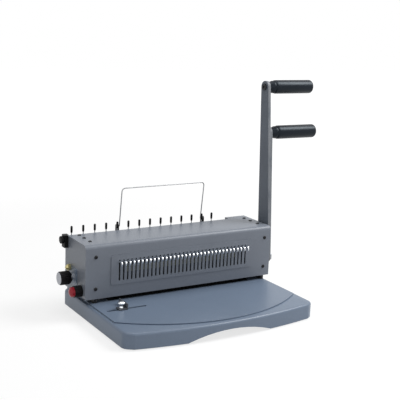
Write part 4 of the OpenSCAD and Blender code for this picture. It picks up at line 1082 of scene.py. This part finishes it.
def weld_tree():
    """Joins loose triangles and shades them smooth up to the edge angle."""
    tree = bpy.data.node_groups.new("weld", "GeometryNodeTree")
    tree.interface.new_socket("Geometry", in_out="INPUT", socket_type="NodeSocketGeometry")
    tree.interface.new_socket("Geometry", in_out="OUTPUT", socket_type="NodeSocketGeometry")
    mesh = Socket(tree, tree.nodes.new("NodeGroupInput").outputs[0])
    plain = mesh.node("GeometryNodeRemoveAttribute", {}, {"Geometry": mesh, "Name": "custom_normal"})
    whole = mesh.node("GeometryNodeMergeByDistance", {}, {"Geometry": plain, "Distance": WELD_REACH})
    smooth = mesh.node("GeometryNodeSetShadeSmooth", {}, {"Geometry": whole, "Shade Smooth": True})
    angle = mesh.node("GeometryNodeInputMeshEdgeAngle", {}, {})
    creased = mesh.node(
        "GeometryNodeSetShadeSmooth",
        {"domain": "EDGE"},
        {"Geometry": smooth, "Selection": angle > EDGE_ANGLE, "Shade Smooth": False},
    )
    tree.links.new(creased.output, tree.nodes.new("NodeGroupOutput").inputs[0])
    return tree


def round_edges(piece, width, tree):
    """Live modifiers that weld a piece and round its edges."""
    piece.modifiers.new("weld", "NODES").node_group = tree
    if width:
        flat = piece.modifiers.new("flat", "DECIMATE")
        flat.decimate_type = "DISSOLVE"
        flat.angle_limit = FLAT_ANGLE
        edge = piece.modifiers.new("edge", "BEVEL")
        edge.width = width
        edge.segments = EDGE_SEGMENTS
        edge.limit_method = "ANGLE"
        edge.angle_limit = EDGE_ANGLE
        edge.harden_normals = True


weld = weld_tree()
for name, width in EDGE_ROUND.items():
    round_edges(frame["nodes"][name], width * MM, weld)
round_edges(frame["nodes"]["base_shell"], 0, weld)
print("rounded edges on", len(EDGE_ROUND), "pieces")

# %% [markdown]
# ## Finish of the model's own pieces
# Every piece of the model names its kind of material, and most take the finish of that name. A few
# look different from their kind: running steel inside is dark steel, whose darkness is painted
# shade for the machine's shadow; plates behind the covers are blackened, and on them the black
# also paints the shade under the body; and the knob's cap, the paper guide and the dial plate have
# their own colours. A list of exceptions shows these choices better than a material for each piece
# would.

# %% Finish of the model's own pieces
SHADED_SLIDES = ("punch_beam", "punch_racks", "hook_racks", "carriage_guides", "tie_bar", "guide_rods")
SHADED_SHAFTS = ("comb_pinions", "punch_pinions", "comb_shaft", "punch_shaft", "punches")
BLACKENED_SHADED_PLATES = ("left_side_plate", "right_side_plate", "die_plate")
BLACKENED_BARS = ("punch_guide", "back_stop", "tray_runners")
OWN_COLOURS = {"knob_cap": "dial_face", "side_guide": "tray_paint", "dial_plate": "base_paint"}

for name, piece in frame["nodes"].items():
    kind = piece.data.materials[0].name.split(".")[0]
    finish = finishes[OWN_COLOURS.get(name, kind)]
    # Running steel inside takes the dark steel: painted shade.
    if name in SHADED_SLIDES + SHADED_SHAFTS:
        finish = painted_shade_steel
    # Blackened finish; on the side and die plates its darkness also paints the shade under the body.
    if name in BLACKENED_SHADED_PLATES + BLACKENED_BARS:
        finish = finishes["black_metal"]
    piece.material_slots[0].material = finish
print("finished", len(frame["nodes"]), "pieces of the model,", len(OWN_COLOURS), "in a colour of their own")
